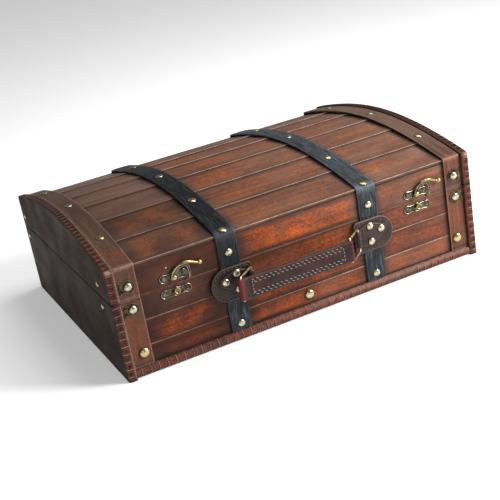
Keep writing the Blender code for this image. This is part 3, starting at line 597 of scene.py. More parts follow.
def add_board(
    shape, start, end, out, thickness, glows, lights, darks, seed,
    radii=PLANK_RADII, left=(0.88, 0.5, 0), dust_and_light_film=0.14, burns=(), fade=PLANK_FADE,
):  # fmt: skip
    """A board along X, whose face runs from start to end, both (y, z), and looks out.

    Glows has one value for each bay, and fade is how far a glow takes to come up beside a strip
    or strap. Burns are (x, z, size) of round places whose glow has been burnt away. Lights say how
    worn the edges at start and end are, with a painted highlight on them, and darks how burnt they
    are, with painted shade under seams and lips; radii say how round they are. Left says how much
    painted shade darkens the left bay, how much of the worn lines is left there, and how dusty it
    is, with a painted sheen. The film is dust with painted light to the right.
    """
    start, end, out = Vector(start), Vector(end), Vector(out).normalized()
    width = (end - start).length
    along = (end - start) / width
    first, last = radii
    across = [first, *EDGE_STEPS] + [width * share for share in (0.42, 0.5, 0.58)]
    across += [width - step for step in (*EDGE_STEPS[::-1], last)]
    rings = []
    for column in range(COLUMNS + 1):
        x = -INNER_X + 2 * INNER_X * column / COLUMNS
        glow_x, dark_x = bay_window(x, glows, fade)
        glow_x *= 0.92 + 0.55 * ripple(x * 24, seed * 13, 6)
        to_left = smooth((-0.05 - x) / 0.05)
        # Haze is dust with painted light to the right, and on the left dust with a painted sheen
        haze = dust_and_light_film * (smooth((x + 0.08) / 0.2) + 0.7 * smooth((x - 0.15) / 0.03))
        haze += left[2] * to_left
        # Painted shade over the left bay
        shade = left[0] * to_left * (1 - 0.3 * glow_x)
        wear_and_highlight = (0.72 + 0.5 * ripple(x * 70, seed * 5, 1)) * (1 - (1 - left[1]) * to_left)
        low_wear_and_highlight, high_wear_and_highlight = lights[0] * wear_and_highlight, lights[1] * wear_and_highlight
        marks = []
        for t in across:
            near = min(t, width - t)
            nearer = 0 if t < width / 2 else 1
            window = smooth((near - 0.001) / (0.19 * width))
            # Burn with painted shadow beside the strips and straps
            bay_dark = dark_x * (0.78 + 0.17 * to_left - 0.35 * window)
            dark = max(shade, bay_dark, darks[nearer] * (1 - smooth(near / 0.0045)))
            light = 0.12 * wear_and_highlight * lights[nearer] * (1 - smooth((near - 0.0008) / 0.0012))
            light += haze * (0.6 + 0.5 * ripple(x * 25, t * 60, seed)) * (1 - 0.75 * dark_x)
            burnt = burnt_share(x, start.y + along.y * t, burns)
            dark += 0.12 * burnt * (1 - to_left)
            glow = glow_x * window * (1 - 0.85 * burnt)
            uneven = WAVE * (ripple(x * 30, t * 90, seed) - 1)
            marks.append((t, uneven, light + 0.07 * burnt, dark, glow))
        nick = NICK * abs(ripple(x * 85, seed * 9, 8))
        for a in EDGE_ANGLES[::-1]:
            t = width - last + last * math.cos(a) - nick
            marks.append((t, last * (math.sin(a) - 1), high_wear_and_highlight, darks[1] * 0.2, 0))
        marks.append((width - GAP / 3, -last * 1.9, high_wear_and_highlight * 0.2, darks[1] * 0.3, 0))
        marks.append((width - GAP / 3, -thickness, 0, 0.6, 0))
        marks.append((GAP / 3, -thickness, 0, 0.6, 0))
        marks.append((GAP / 3, -first * 1.5, low_wear_and_highlight * 0.15, 0.55, 0))
        nick = NICK * abs(ripple(x * 90, seed * 9, 4))
        for a in EDGE_ANGLES:
            t = first * (1 - math.cos(a)) + nick
            marks.append((t, first * (math.sin(a) - 1), low_wear_and_highlight, darks[0] * 0.2, 0))
        ring = []
        for t, h, light, dark, glow in marks:
            y, z = start + along * t + out * h
            ring.append(((x, y, z), (glow, light, dark, seed)))
        rings.append(ring)
    shape.add_rings(rings)


# Rows of planks: name, foot, top, how worn and how burnt the top edge is, and film. The wear
# carries a painted highlight, the burn painted shade, and the film is dust with painted light
ROWS = (
    ("lower", BOARD_TOP, 0.0298, 1, 0.55, 0.19),
    ("middle", 0.0302, 0.0564, 1, 0.55, 0.08),
    ("upper", 0.0568, BASE_TOP, 0.45, 0.8, 0.08),
)
# Glow of each row's three bays, and last of the board above the seam
FRONT_GLOWS = ((0.48, 0.7, 0.5), (1, 0.74, 0.36), (0.1, 0.52, 0.3), (0.24, 0.95, 0.42))
BACK_GLOWS = ((0.4, 0.5, 0.4), (0.7, 0.6, 0.6), (0.3, 0.4, 0.2), (0.4, 0.6, 0.3))
LATCH_BURNS = tuple((side * LATCH_X, SEAM, 0.021) for _, side in SIDES)
for (face, out), glows in zip(FACES, (FRONT_GLOWS, BACK_GLOWS)):
    y = out * PLANK_FACE
    burns = LATCH_BURNS if out < 0 else ()
    for index, (row, low, high, light, dark, dust_and_light_film) in enumerate(ROWS):
        board = Shape()
        seed = 0.13 * index + 0.4 * (out + 1)
        # Wear and a painted highlight at the top edge; burn and painted shade at both edges, most
        # below
        edges = (0.15, light), (0.9, dark)
        ends = (y, low), (y, high), (out, 0)
        add_board(board, *ends, PLANK, glows[index], *edges, seed, dust_and_light_film=dust_and_light_film, burns=burns)
        build(board, f"{face}_board_{row}", "base", WOOD_PLANK, f"base_{face}_plank_{row}")
    board = Shape()
    top = arch(PLANK_FACE, SLAT_DROP + SLAT + GAP + (SLAT_STEP if out > 0 else 0))
    # The top lip: wear and a painted highlight; burn and painted shade at both edges
    edges = (0.35, 0.1), (0.85, 0.4)
    ends = (y, LID_BOTTOM), (y, top), (out, 0)
    look = {"left": (1, 0.5, 0), "dust_and_light_film": 0.2, "burns": burns}
    add_board(board, *ends, PLANK, glows[3], *edges, 0.61 + out * 0.1, **look)
    build(board, f"{face}_lid_board", "lid", WOOD_PLANK, f"lid_{face}_plank")

# Each slat's glows, and how its left bay looks, as for add_board
# Left bays of the back slats: painted shade, few worn lines, and dust with a painted sheen
BACK_SLATS_LEFT = (0.56, 0.05, 0.25)
SLATS = (
    ((0.9, 0.58, 0.58), (1, 0.5, 0)),
    ((0.82, 0.46, 0.48), (0.9, 0.45, 0)),
    ((0.18, 0.66, 0.45), (0.6, 0.3, 0.14)),
    ((0.08, 0.62, 0.4), BACK_SLATS_LEFT),
    ((0.08, 0.55, 0.25), BACK_SLATS_LEFT),
    ((0.05, 0.3, 0.12), BACK_SLATS_LEFT),
)
for index, (glows, left) in enumerate(SLATS):
    front = SLAT_SEAMS[index]
    back = SLAT_SEAMS[index + 1] - GAP
    start = (front, arch(front, SLAT_DROP))
    end = (back, arch(back, SLAT_DROP + SLAT_STEP))
    out = (start[1] - end[1], end[0] - start[0])
    board = Shape()
    # Front lip: wear and a painted highlight; back edge, under the next lip: burn and painted shade
    edges = (0.86 - 0.04 * index, 0), (0.15, 0.95)
    seed = 0.17 * index + 0.05
    look = {"radii": SLAT_RADII, "left": left, "fade": SLAT_FADE}
    add_board(board, start, end, out, SLAT, glows, *edges, seed, **look)
    build(board, f"slat_{index + 1}", "lid", WOOD_SLAT, f"lid_slat_{index + 1}")


# End panels and bottom board, with notched edges

NOTCH_PITCH = 0.0082
NOTCH_DEPTH = 0.0008
LEVEL_STEPS = 30
ARCH_POINTS = 79
ROUGH = 0.0001
MOULDING_PITCH = 0.0094
# One notch: (distance from its middle, share of its depth, how worn it is, or -1 where it is dark).
# The wear carries a painted highlight on the rib, and the dark is painted shade in the cut
NOTCH = (
    (-0.0016, 0, 0), (-0.00105, 0.05, 0.25), (-0.0006, 0.45, 0), (0, 1, -1),
    (0.0006, 0.45, 0.2), (0.0011, 0.03, 1), (0.0017, 0, 0.06),
)


def notch_stops(length, pitch):
    """Distances along an edge, each with its cut's depth share and its wear with painted highlight.
    """
    count = max(1, round(length / pitch))
    pitch = length / count
    stops = []
    for i in range(count):
        for off, depth, light in (*NOTCH, (pitch * 0.5, -0.12, 0)):
            stops.append(((i + 0.5) * pitch + off, depth, light))
    return [stop for stop in stops if 0.0004 < stop[0] < length - 0.0004]


def notched_edge(points):
    """Points, depths and wear with painted highlights along a line that has notches."""
    line = np.array(points, float)
    lengths = lengths_of(line)
    stops = notch_stops(lengths[-1], NOTCH_PITCH)
    edge = [(point_on(line, lengths, distance), depth, light) for distance, depth, light in stops]
    return [(tuple(line[0]), 0, 0.2)] + edge


def level_edge(start, end, z):
    ys = np.linspace(start, end, LEVEL_STEPS, endpoint=False)
    return [((y, z), 0, 0.3) for y in ys]


# The panel's section: (share of its thickness, inset, how far a notch moves it, wear). The wear
# carries a painted highlight, brightest along the rounded inner edge
PANEL_SECTION = (
    (0, 0.038, 0, 0), (0, 0.025, 0, 0), (0, 0.0035, 0, 0), (0, 0.0019, 0.35, 0.2),
    (0.045, 0.0009, 0.8, 0.9), (0.14, 0.0002, 1, 0.6), (0.32, 0, 1, 0.1), (0.5, 0, 0.9, 0.1),
    (0.66, 0, 0.45, 0.3), (0.8, 0, 0.1, 1.2), (0.9, 0.0003, 0, 2.2), (0.965, 0.0009, 0, 1.2),
    (1, 0.0019, 0, 0), (1, 0.0035, 0, 0), (1, 0.025, 0, 0), (1, 0.038, 0, 0),
)
PANEL_SEED = 0.37


def panel_edge_tone(y, z, side, light, weight, wear_and_highlight, on_arch):
    """Redder and darker than the panel's face, with light ticks, painted highlights on the ribs,
    brightest low on the front and at the right end, and painted shade in the middle of each notch.
    """
    rear = on_arch * smooth((y + 0.13) / 0.12)
    low_front = smooth((-0.15 - y) / 0.005) * (1 - smooth((z - 0.035) / 0.05))
    ticks = (0.7 + 0.18 * side + 0.5 * low_front) * (1 - (0.45 + 0.2 * side) * on_arch)
    lit = max(0, light) * weight * ticks + wear_and_highlight * (0.115 - 0.055 * side)
    dark = 0.42 - 0.22 * side + (0.31 + 0.29 * side) * on_arch + 0.14 * rear - 0.2 * low_front
    if light < 0:
        dark += (1 - dark) * weight
    red = (0.62 + 0.25 * ripple(y * 40, z * 40, 3)) * (1 - 0.55 * rear)
    return max(0, red), min(1, lit), dark, PANEL_SEED


def add_panel(shape, samples, side, low, high):
    """An end panel. Its insets shrink the outline about its middle, so that corners stay clean."""
    outline = [point for point, _, _ in samples]
    inward = normals(outline) if area(outline) > 0 else -normals(outline)
    centre = (low + high) / 2
    tall = high - low
    rings = []
    for share, inwards, weight, wear_and_highlight in PANEL_SECTION:
        ring = []
        x = side * (WIDTH / 2 - share * PANEL)
        across = 1 - inwards / HALF_DEPTH
        upright = 1 - 2 * min(inwards, 0.46 * tall) / tall
        on_edge = inwards < 0.003
        for ((y, z), depth, light), (ny, nz) in zip(samples, inward):
            on_arch = smooth((z - END_HEIGHT + 0.004) / 0.004)
            cut = max(0, depth) * NOTCH_DEPTH * (1 - (0.25 + 0.25 * side) * on_arch)
            move = (cut + ROUGH * abs(ripple(y * 300, z * 300, share * 4))) * weight
            height = centre + (z - centre) * upright + nz * move
            tone = (0, 0, 0, PANEL_SEED)
            if is_plain(z, low, high):
                tone = (0, 0.04, 0.5, PANEL_SEED)
                if on_edge:
                    height = z + nz * inwards * 0.25
            elif on_edge:
                tone = panel_edge_tone(y, z, side, light, weight, wear_and_highlight, on_arch)
            ring.append(((x, y * across + ny * move, height), tone))
        rings.append(ring)
    shape.add_rings(rings)


def is_plain(z, low, high):
    """Whether z is on an edge without notches: the seam or the underside."""
    return z < low + 0.0001 or (z > high - 0.0001 and abs(high - BASE_TOP) < 0.0001)


CORNER = 0.0024


def lid_corner(side):
    """The rounded corner between a panel's arch and its upright edge, in the outline's order,
    worn and lit with a painted highlight.
    """
    low = (side * HALF_DEPTH, END_HEIGHT - CORNER)
    high = (side * (HALF_DEPTH - CORNER), arch(HALF_DEPTH - CORNER))
    first, last = (low, high) if side < 0 else (high, low)
    curve = [first] + bend(first, (side * HALF_DEPTH, END_HEIGHT), last, 5)
    return [(point, 0, 1.5) for point in curve]


arch_end = HALF_DEPTH - CORNER
arch_points = [(y, arch(y)) for y in np.linspace(-arch_end, arch_end, ARCH_POINTS)]
base_samples = (
    notched_edge([(-HALF_DEPTH, 0), (-HALF_DEPTH, BASE_TOP)])
    + level_edge(-HALF_DEPTH, HALF_DEPTH, BASE_TOP)
    + notched_edge([(HALF_DEPTH, BASE_TOP), (HALF_DEPTH, 0)])
    + level_edge(HALF_DEPTH, -HALF_DEPTH, 0)
)
lid_samples = (
    notched_edge([(-HALF_DEPTH, LID_BOTTOM), (-HALF_DEPTH, END_HEIGHT - CORNER)])
    + lid_corner(-1)
    + notched_edge(arch_points)
    + lid_corner(1)
    + notched_edge([(HALF_DEPTH, END_HEIGHT - CORNER), (HALF_DEPTH, LID_BOTTOM)])
    + level_edge(HALF_DEPTH, -HALF_DEPTH, LID_BOTTOM)
)
for name, side in SIDES:
    for body, samples, low, high in (
        ("base", base_samples, 0, BASE_TOP),
        ("lid", lid_samples, LID_BOTTOM, arch(0)),
    ):
        piece = Shape()
        add_panel(piece, samples, side, low, high)
        build(piece, f"{body}_panel_{name}", body, WOOD_PANEL, f"{body}_end_panel_{name}", 50)

# The bottom board, whose long edges are half-round and ribbed
MOULDING_INNER = BOARD_EDGE - 0.03
ROLL_RADIUS = BOARD / 2
ROLL = [math.pi * (0.5 - i / 10) for i in range(11)]
profile = [(MOULDING_INNER, BOARD, -1)]
for a in ROLL:
    y = BOARD_EDGE - ROLL_RADIUS + ROLL_RADIUS * math.cos(a)
    profile.append((y, ROLL_RADIUS * (1 + math.sin(a)), math.cos(a)))
profile.append((MOULDING_INNER, 0, -1))
rings = []
stops = [(0, 0, 0.2), *notch_stops(2 * INNER_X, MOULDING_PITCH), (2 * INNER_X, 0, 0.2)]
for distance, depth, light in stops:
    x = distance - INNER_X
    # Painted shade, darker to the left, and a painted sheen on the roll's upper half to the right
    shade = 0.28 - 0.24 * smooth((0.12 - x) / 0.1) + 0.42 * smooth((-0.04 - x) / 0.12)
    sheen = 0.15 * smooth((x + 0.1) / 0.18)
    ring = []
    for side in (-1, 1):
        for y, z, front in profile[::-side]:
            weight = smooth(front / 0.45)
            move = max(0, depth) * weight * NOTCH_DEPTH
            move += ROUGH * abs(ripple(x * 200, z * 300, side))
            above = smooth((z / BOARD - 0.45) / 0.35)
            # Ticks are painted highlights on the ribs, and the middle of each cut is dark with
            # painted shade
            tick = max(0, light) * (0.62 - sheen) + (0.14 if depth < 0 else 0.06)
            lit = min(1, weight * (tick + 1.9 * sheen * above))
            dark = weight * max(shade, 1 - 1.4 * sheen if light < 0 else 0) if front > -1 else 0.55
            ring.append(((x, side * (y - move), z), (0.9 * weight, lit, dark, 0.71)))
    rings.append(ring)
board = Shape()
board.add_rings(rings)
build(board, "bottom_board", "base", WOOD_EDGE, "base_bottom_board", 50)


# Wooden strips and leather straps

STRIP_EDGE = 0.0006
STRAP_EDGE = 0.0007
STRAP_SAG = 0.0002
STRIP_FOLD = 0.002
STRAP_FOLD = 0.005
END_POINTS = 12
TOP_POINTS = 56
UPRIGHT_POINTS = 40
# Where the strips fold from the front to the lid, as a distance from their lower end
FOLD = arch(STRIP_FACE, SLAT_DROP - GAP - STRIP) - LID_BOTTOM - 0.001
# For strips on the base, which end long before it
NO_FOLD = 0.2


def lid_path(thickness, fold):
    """The outer face of a strip that runs up the lid's front, over it and down its back."""
    face = PLANK_BACKING + thickness
    drop = SLAT_DROP - GAP - thickness
    top = arch(face, drop)
    inner = fold - face
    path = [(-face, z) for z in np.linspace(LID_BOTTOM, top - fold, END_POINTS)]
    path += bend((-face, top - fold), (-face, top), (inner, arch(inner, drop)))
    path += [(y, arch(y, drop)) for y in np.linspace(inner, 0, TOP_POINTS)[1:-1]]
    return path + [(0, arch(0, drop))] + [(-y, z) for y, z in path[::-1]]


def add_cover(shape, path, centre, width, thickness, edge, tone_at, seed, sag=0):
    """A flat cover along a path of (y, z), with rounded edges and a tone for each place."""
    path = np.array(path, float)
    along = np.gradient(path, axis=0)
    along /= np.linalg.norm(along, axis=1)[:, None]
    distances = lengths_of(path)
    w = width / 2
    section = [(-w, -thickness), (-w, -edge), (0.3 * edge - w, -0.3 * edge), (edge - w, 0)]
    middle = [(s * w, 0) for s in (-0.82, -0.6, -0.3, 0, 0.3, 0.6, 0.82)]
    section += middle + [(-u, h) for u, h in section[::-1]]
    rings = []
    for (y, z), (dy, dz), distance in zip(path, along, distances):
        ring = []
        for u, h in section:
            lift = h
            if h > -thickness:
                lift -= abs(0.00012 * ripple(distance * 60, u * 120, seed * 9)) + sag * (u / w) ** 2
            inwards = 0
            if abs(u) > 0.9 * w:
                inwards = -math.copysign(0.00018 * abs(ripple(distance * 50, seed * 3, u * 50)), u)
            point = (centre + u + inwards, y - dz * lift, z + dy * lift)
            ring.append((point, (*tone_at(u / w, h, distance, distances[-1]), seed)))
        rings.append(ring)
    shape.add_rings(rings)


def wood_tone(fold_at, shade=0, front_shade=0, warm=0, dust_and_light_share=0):
    """Worn long edges, redder wood up the front, dark ends, and past the fold warm wood or dust.

    The dust comes with painted light, the fold has a painted highlight, and the side faces and
    the shades given are painted shade.
    """

    def tone(u, h, distance, length):
        # The side faces are dark: painted shade
        if h < -0.0004:
            return 0, 0, 0.95
        near_end = min(distance, length - distance)
        past = distance - fold_at
        worn = smooth((abs(u) - 0.88) / 0.08) * (0.8 + 0.4 * ripple(distance * 60, u * 3, 2))
        front = 1 - smooth(past / 0.012)
        end_light = (1 - smooth(near_end / 0.0012)) * 0.3
        end_dark = (1 - smooth((near_end - 0.0015) / 0.004)) * 0.8
        side_dark = smooth((abs(u) - 0.5) / 0.35) * 0.35 * (1 - worn)
        # A painted highlight along the fold
        fold_light = bell(past, 0.0016) * 0.45
        dust_and_painted_light = dust_and_light_share * smooth((past - 0.02) / 0.05)
        glow = 0.5 * front + warm * (1 - front) * (1 - smooth((past - 0.018) / 0.022))
        light = max(0, worn) * 0.34 + end_light + fold_light + dust_and_painted_light
        return glow, min(1, light), max(end_dark + side_dark, shade + (front_shade - shade) * front)

    return tone


def leather_tone(fold_at, dust_and_light_share=0, shade=0):
    """Scuffed edges and folds, with a share of dust over the lid.

    The crease is pale with wear and a painted highlight, the dust comes with painted light, and
    the side faces and the shade given are painted shade.
    """

    def tone(u, h, distance, length):
        past = distance - fold_at
        worn = smooth((abs(u) - 0.86) / 0.1) * 0.28 * (0.6 + 0.6 * ripple(distance * 80, u * 4, 7))
        crease_and_highlight = bell(past, 0.006) * (0.45 + 0.4 * ripple(u * 6, distance * 300, 5))
        front = 0.11 * (1 - smooth(past / 0.01)) * (0.5 + ripple(u * 22, distance * 30, 9))
        dust_and_painted_light = dust_and_light_share * smooth(past / 0.02) * (0.7 + 0.6 * ripple(u * 4, distance * 40, 11))
        light = sum(max(0, each) for each in (worn, crease_and_highlight, front, dust_and_painted_light))
        # The side faces are dark: painted shade
        return 0, min(1, light), 0.75 if h < -0.0004 else shade

    return tone


for name, side in SIDES:
    # Left strips and straps get painted shade, right ones dust with painted light
    strip_painted_shade_glow_dust = (0.31, 0.38, 0.7) if side < 0 else (0.08, 0.12, 0.1, 0.17)
    strap_dust_painted_light_shade = (0, 0.58) if side < 0 else (0.24, 0)
    strip_sizes = (side * STRIP_X, STRIP_WIDTH, STRIP, STRIP_EDGE)
    strap_sizes = (side * STRAP_X, STRAP_WIDTH, STRAP, STRAP_EDGE)
    piece = Shape()
    tone = wood_tone(FOLD, *strip_painted_shade_glow_dust)
    add_cover(piece, lid_path(STRIP, STRIP_FOLD), *strip_sizes, tone, 0.3 + 0.2 * side)
    build(piece, "lid_strip_" + name, "lid", WOOD_STRIP, "lid_end_strip_" + name)
    piece = Shape()
    tone = leather_tone(FOLD, *strap_dust_painted_light_shade)
    add_cover(piece, lid_path(STRAP, STRAP_FOLD), *strap_sizes, tone, 0.5 + 0.2 * side, STRAP_SAG)
    build(piece, "lid_leather_strap_" + name, "lid", STRAP_LEATHER, "lid_strap_" + name)
    # The left front stiles get painted shade
    strip_tone = wood_tone(NO_FOLD, 0, 0.36 if side < 0 else 0.08)
    strap_tone = leather_tone(NO_FOLD)
    for face, out in FACES:
        for kind, sizes, finish, tone, sag, node in (
            ("strip", strip_sizes, WOOD_STRIP, strip_tone, 0, "stile"),
            ("leather_strap", strap_sizes, STRAP_LEATHER, strap_tone, STRAP_SAG, "strap"),
        ):
            y = out * (PLANK_BACKING + sizes[2])
            path = [(y, z) for z in np.linspace(BOARD_TOP, BASE_TOP, UPRIGHT_POINTS)][::-out]
            piece = Shape()
            add_cover(piece, path, *sizes, tone, 0.35 + 0.3 * side + 0.1 * out, sag)
            build(piece, f"{face}_{kind}_{name}", "base", finish, f"base_{node}_{face}_{name}")


# Studs, each with its radius and height

STUD = (0.0043, 0.0022)
STRAP_STUD = (0.0043, 0.0023)
PATCH_STUD = (0.0045, 0.0024)
TOP_STUD = (0.0047, 0.0015)
END_STUD = (0.003, 0.0014)
LOW_STUD = (0.0057, 0.0033)
MIDDLE_STUD = (0.0057, 0.0034)
NAIL = (0.001, 0.0005)
NAIL_PLACE = (-0.1477, -PLANK_FACE, 0.1014)
MIDDLE_STUD_PLACE = (0, -PLANK_BACKING, 0.0211)
LID_STUD_Z = 0.0966
BASE_STUD_Z = 0.0725
LOW_STUD_X = 0.1877
LOW_STUD_Z = 0.0245
STRAP_FOOT_STUD_Z = 0.018
END_STUD_YS = (-0.1252, 0.1427)
STRIP_STUD_YS = (-0.0961, 0.003, 0.103)
STRAP_STUD_YS = (-0.1498, -0.08, 0.009, 0.097)
ON_PATCH = -STRIP_FACE - 0.0012
# From a stud's rim to its top: (share of a quarter turn, how dark it is). The dark is patina in
# the join and painted shade up the dome's lower sides
STUD_DARKS = ((0.1, 0.62), (0.24, 0.34), (0.4, 0.14), (0.56, 0.04), (0.72, 0), (0.87, 0))


def add_stud(shape, place, out, size, seed=0, patina_and_shade=0, gilt=0):
    """A domed stud, slightly tilted. The patina given is how dark its top is, and gilt how golden
    it is.
    """
    radius, height = size
    key = seed * 31
    tilt = Vector((ripple(key, 1, 2), ripple(3, key, 4), ripple(5, 6, key))) * 0.08
    profile = [(0, -0.0004, 0.6), (radius * 0.98, -0.0004, 0.95), (radius, 0, 0.9)]
    for share, dark in STUD_DARKS:
        a = share * math.pi / 2
        dark += patina_and_shade if share > 0.5 else 0
        profile.append((radius * math.cos(a), height * math.sin(a), dark))
    profile.append((radius * 0.04, height, patina_and_shade))
    # The last argument, 0.9, is painted shade on the stud's lower side
    add_turned(shape, profile, place, Vector(out) + tilt, 24, seed, gilt, 0.9)


# Studs on the front, where y is below 0, and on the back: x, y, z, size, seed, gilt
LID_STUDS = (
    (STRIP_X, ON_PATCH, LID_STUD_Z, PATCH_STUD, 0.1, 0),
    (STRIP_X, STRIP_FACE, LID_STUD_Z, STUD, 0.2, 0),
    (STRAP_X, -STRAP_FACE, LID_STUD_Z, STRAP_STUD, 0.3, 0),
    (STRAP_X, STRAP_FACE, LID_STUD_Z, STUD, 0.4, 0),
)
BASE_STUDS = (
    (STRIP_X, ON_PATCH, BASE_STUD_Z, PATCH_STUD, 0.5, 0),
    (STRIP_X, STRIP_FACE, BASE_STUD_Z, STUD, 0.6, 0),
    (LOW_STUD_X, -STRIP_FACE, LOW_STUD_Z, LOW_STUD, 0.7, 0.7),
    (STRAP_X, -STRAP_FACE, STRAP_FOOT_STUD_Z, STUD, 0.8, 0),
    (LOW_STUD_X, STRIP_FACE, LOW_STUD_Z, LOW_STUD, 0.7, 0.7),
    (STRAP_X, STRAP_FACE, STRAP_FOOT_STUD_Z, STUD, 0.8, 0),
)
# Studs over the lid: x, the places along Y, and how thick the strip under them is
TOP_STUDS = ((STRIP_X, STRIP_STUD_YS, STRIP), (STRAP_X, STRAP_STUD_YS, STRAP))
for name, side in SIDES:
    for body, upright, over, end_z in (
        ("lid", LID_STUDS, TOP_STUDS, LID_STUD_Z),
        ("base", BASE_STUDS, (), BASE_STUD_Z),
    ):
        studs = Shape()
        for x, y, z, size, seed, gilt in upright:
            place = (side * x, y, z)
            add_stud(studs, place, FRONT if y < 0 else BACK, size, seed + side, 0, gilt)
        for x, ys, thick in over:
            for y in ys:
                place = (side * x, y, arch(y, SLAT_DROP - GAP - thick))
                out = Vector((0, -arch_slope(y), 1)).normalized()
                add_stud(studs, place, out, TOP_STUD, y + side, 0.38, 0.45 if y < -0.09 else 0.1)
        for y in END_STUD_YS:
            add_stud(studs, (side * WIDTH / 2, y, end_z), (side, 0, 0), END_STUD, y)
        build(studs, f"{body}_studs_{name}", body, BRASS)
stud = Shape()
add_stud(stud, MIDDLE_STUD_PLACE, FRONT, MIDDLE_STUD, 0.9, 0, 0.25)
build(stud, "front_middle_stud", "base", BRASS, "front_centre_stud")
nail = Shape()
add_stud(nail, NAIL_PLACE, FRONT, NAIL, 0.2)
build(nail, "lid_front_nail", "lid", BRASS)

# Bronze patches behind four studs: the upper half of their outline, in halves of a strip's width
PATCH = (
    (-0.69, 0), (-0.63, 0.24), (-0.46, 0.47), (-0.08, 0.68), (0.26, 0.6), (0.53, 0.49),
    (0.7, 0.53), (0.84, 0.66), (0.98, 0.73),
)
# The patch's section: inset and height in mm, a painted highlight on its rim, and patina
PATCH_PROFILE = (
    (0.8, 0.3, 0, 1), (0, 0.3, 0, 0.9), (0, 0.7, 0.5, 0.2), (0.25, 1, 1, 0), (0.6, 1, 0.8, 0),
    (0.9, 0.6, 0, 0.7), (1.6, 0.6, 0, 0.25),
)
PATCH_SCALE = STRIP_WIDTH / 2
for name, side in SIDES:
    # Shine scales the painted highlight, less on the right, where the patina is also lighter
    shine, darker = (1, 0.1) if side < 0 else (0.35, -0.25)
    profile = [(u, h, light * shine, dark) for u, h, light, dark in PATCH_PROFILE]
    for body, z in (("lid", LID_STUD_Z), ("base", BASE_STUD_Z)):
        upper = [p * PATCH_SCALE for p in spline([(u, v, 0) for u, v in PATCH], 4)]
        outline = [(side * (STRIP_X + p.x), z + p.y) for p in upper]
        outline += [(side * (STRIP_X + p.x), z - p.y) for p in upper[:0:-1]]
        patch = Shape()
        add_plate(patch, outline, profile, place_on(-1, STRIP_FACE), darker=darker)
        build(patch, f"{body}_bronze_patch_{name}", body, PATCH_BRONZE, f"{body}_stud_patch_{name}")


# Latches. The shares are of the claw's reach from the pivot.

# The hook's middle line: (x, z, half width)
HOOK_PATH = (
    (-0.05, -0.12, 0.15), (-0.02, 0.13, 0.152), (0.12, 0.37, 0.15), (0.42, 0.59, 0.152),
    (0.74, 0.64, 0.142), (0.945, 0.43, 0.098), (0.998, 0.05, 0.08), (0.952, -0.31, 0.06),
)
# The raised outer edge of the hook, which goes on as the horn: (x, z, radius)
HORN_PATH = (
    (-0.17, -0.1, 0.03), (-0.13, 0.17, 0.045), (0.04, 0.44, 0.062), (0.33, 0.65, 0.085),
    (0.62, 0.715, 0.1), (0.93, 0.725, 0.105), (1.22, 0.62, 0.09), (1.48, 0.5, 0.076),
    (1.7, 0.455, 0.072),
)
# Plate and hook sections: inset and height in mm, a painted highlight on the rim, and patina
PLATE_PROFILE = (
    (1, 0, 0, 1), (0, 0, 0, 1), (0, 0.4, 0.1, 0.7), (0.2, 0.7, 0.7, 0.1), (0.5, 0.8, 0.6, 0.1),
    (0.9, 0.4, 0, 1), (1.6, 0.4, 0, 0.75),
)
HOOK_PROFILE = (
    (0.7, 0, 0, 1), (0.1, 0.1, 0, 0.7), (0, 0.4, 0.1, 0.5), (0.1, 0.9, 0.5, 0.1),
    (0.4, 1.2, 0.4, 0.2), (0.8, 1.2, 0, 0.8),
)
# Pins: radius, height, radius of the stem, and the dome's (radius share, height share, dark)
RIVET = (0.0026, 0.0016, 0.0012, ((0.85, 0.62, 0), (0.5, 0.93, 0), (0.05, 1, 0)))
CUP = ((0.97, 0.7, 0), (0.82, 1, 0), (0.64, 0.85, 0.35), (0.35, 0.55, 0.75), (0.05, 0.5, 0.6))
KNOB = (0.0037, 0.0021, 0.0013, CUP)
LATCH_FRONT = PLANK_BACKING + 0.0008
HOOK_BACK = LATCH_FRONT + 0.0008
UPPER_Z = PIVOT_Z + 0.0008
UPPER_REACH = 0.0107
KEEPER_Z = KNOB_Z - 0.0018
KEEPER_REACH = 0.012
LATCH_SCREW = (0.002, 0.0007)
STEM = 0.0023
LOBE_RADIUS = 0.0045
DISC_RADIUS = 0.0048
WAIST = 0.0039
BALL_RADIUS = 0.0025


def stroke(shares, scale):
    """The outline of a line of changing width: each share is (x, z, half width)."""
    path = [point * scale for point in spline(shares)]
    left = []
    right = []
    for i, point in enumerate(path):
        along = path[min(i + 1, len(path) - 1)] - path[max(i - 1, 0)]
        across = Vector((-along.y, along.x)).normalized() * point.z
        left.append(tuple(point.xy + across))
        right.append(tuple(point.xy - across))
    return left + right[::-1]


def lobed(centre, offset):
    """A plate outline with a round lobe at each screw and a larger disc at its middle."""
    lobe = math.asin(WAIST / LOBE_RADIUS)
    disc = math.asin(WAIST / DISC_RADIUS)
    x, z = centre
    points = arc((x + offset, z), LOBE_RADIUS, lobe - math.pi, math.pi - lobe, 20)
    points += arc(centre, DISC_RADIUS, disc, math.pi - disc, 12)
    points += arc((x - offset, z), LOBE_RADIUS, lobe, 2 * math.pi - lobe, 20)
    return points + arc(centre, DISC_RADIUS, math.pi + disc, 2 * math.pi - disc, 12)


def add_screw(shape, place, out, radius, height, angle):
    """A countersunk screw head, whose slot is a dark bar on the head: painted shade instead of a
    cut.
    """
    side, up, along = frame_of(out)
    profile = [(radius * 1.15, 0, 1), (radius, height * 0.2, 0.9)]
    profile += [(radius * 0.9, height * 0.75, 0.35), (radius * 0.5, height, 0.5)]
    add_turned(shape, profile, place, out, 14)
    slot = side * math.cos(angle) + up * math.sin(angle)
    wide = slot.cross(along)
    corners = []
    for lift in (height * 0.85, height * 1.06):
        for a, b in ((-0.85, -0.12), (0.85, -0.12), (0.85, 0.12), (-0.85, 0.12)):
            corners.append(Vector(place) + slot * (a * radius) + wide * (b * radius) + along * lift)
    shape.add(corners, BOX_FACES, [(0, 0, 1, 0)] * 8)


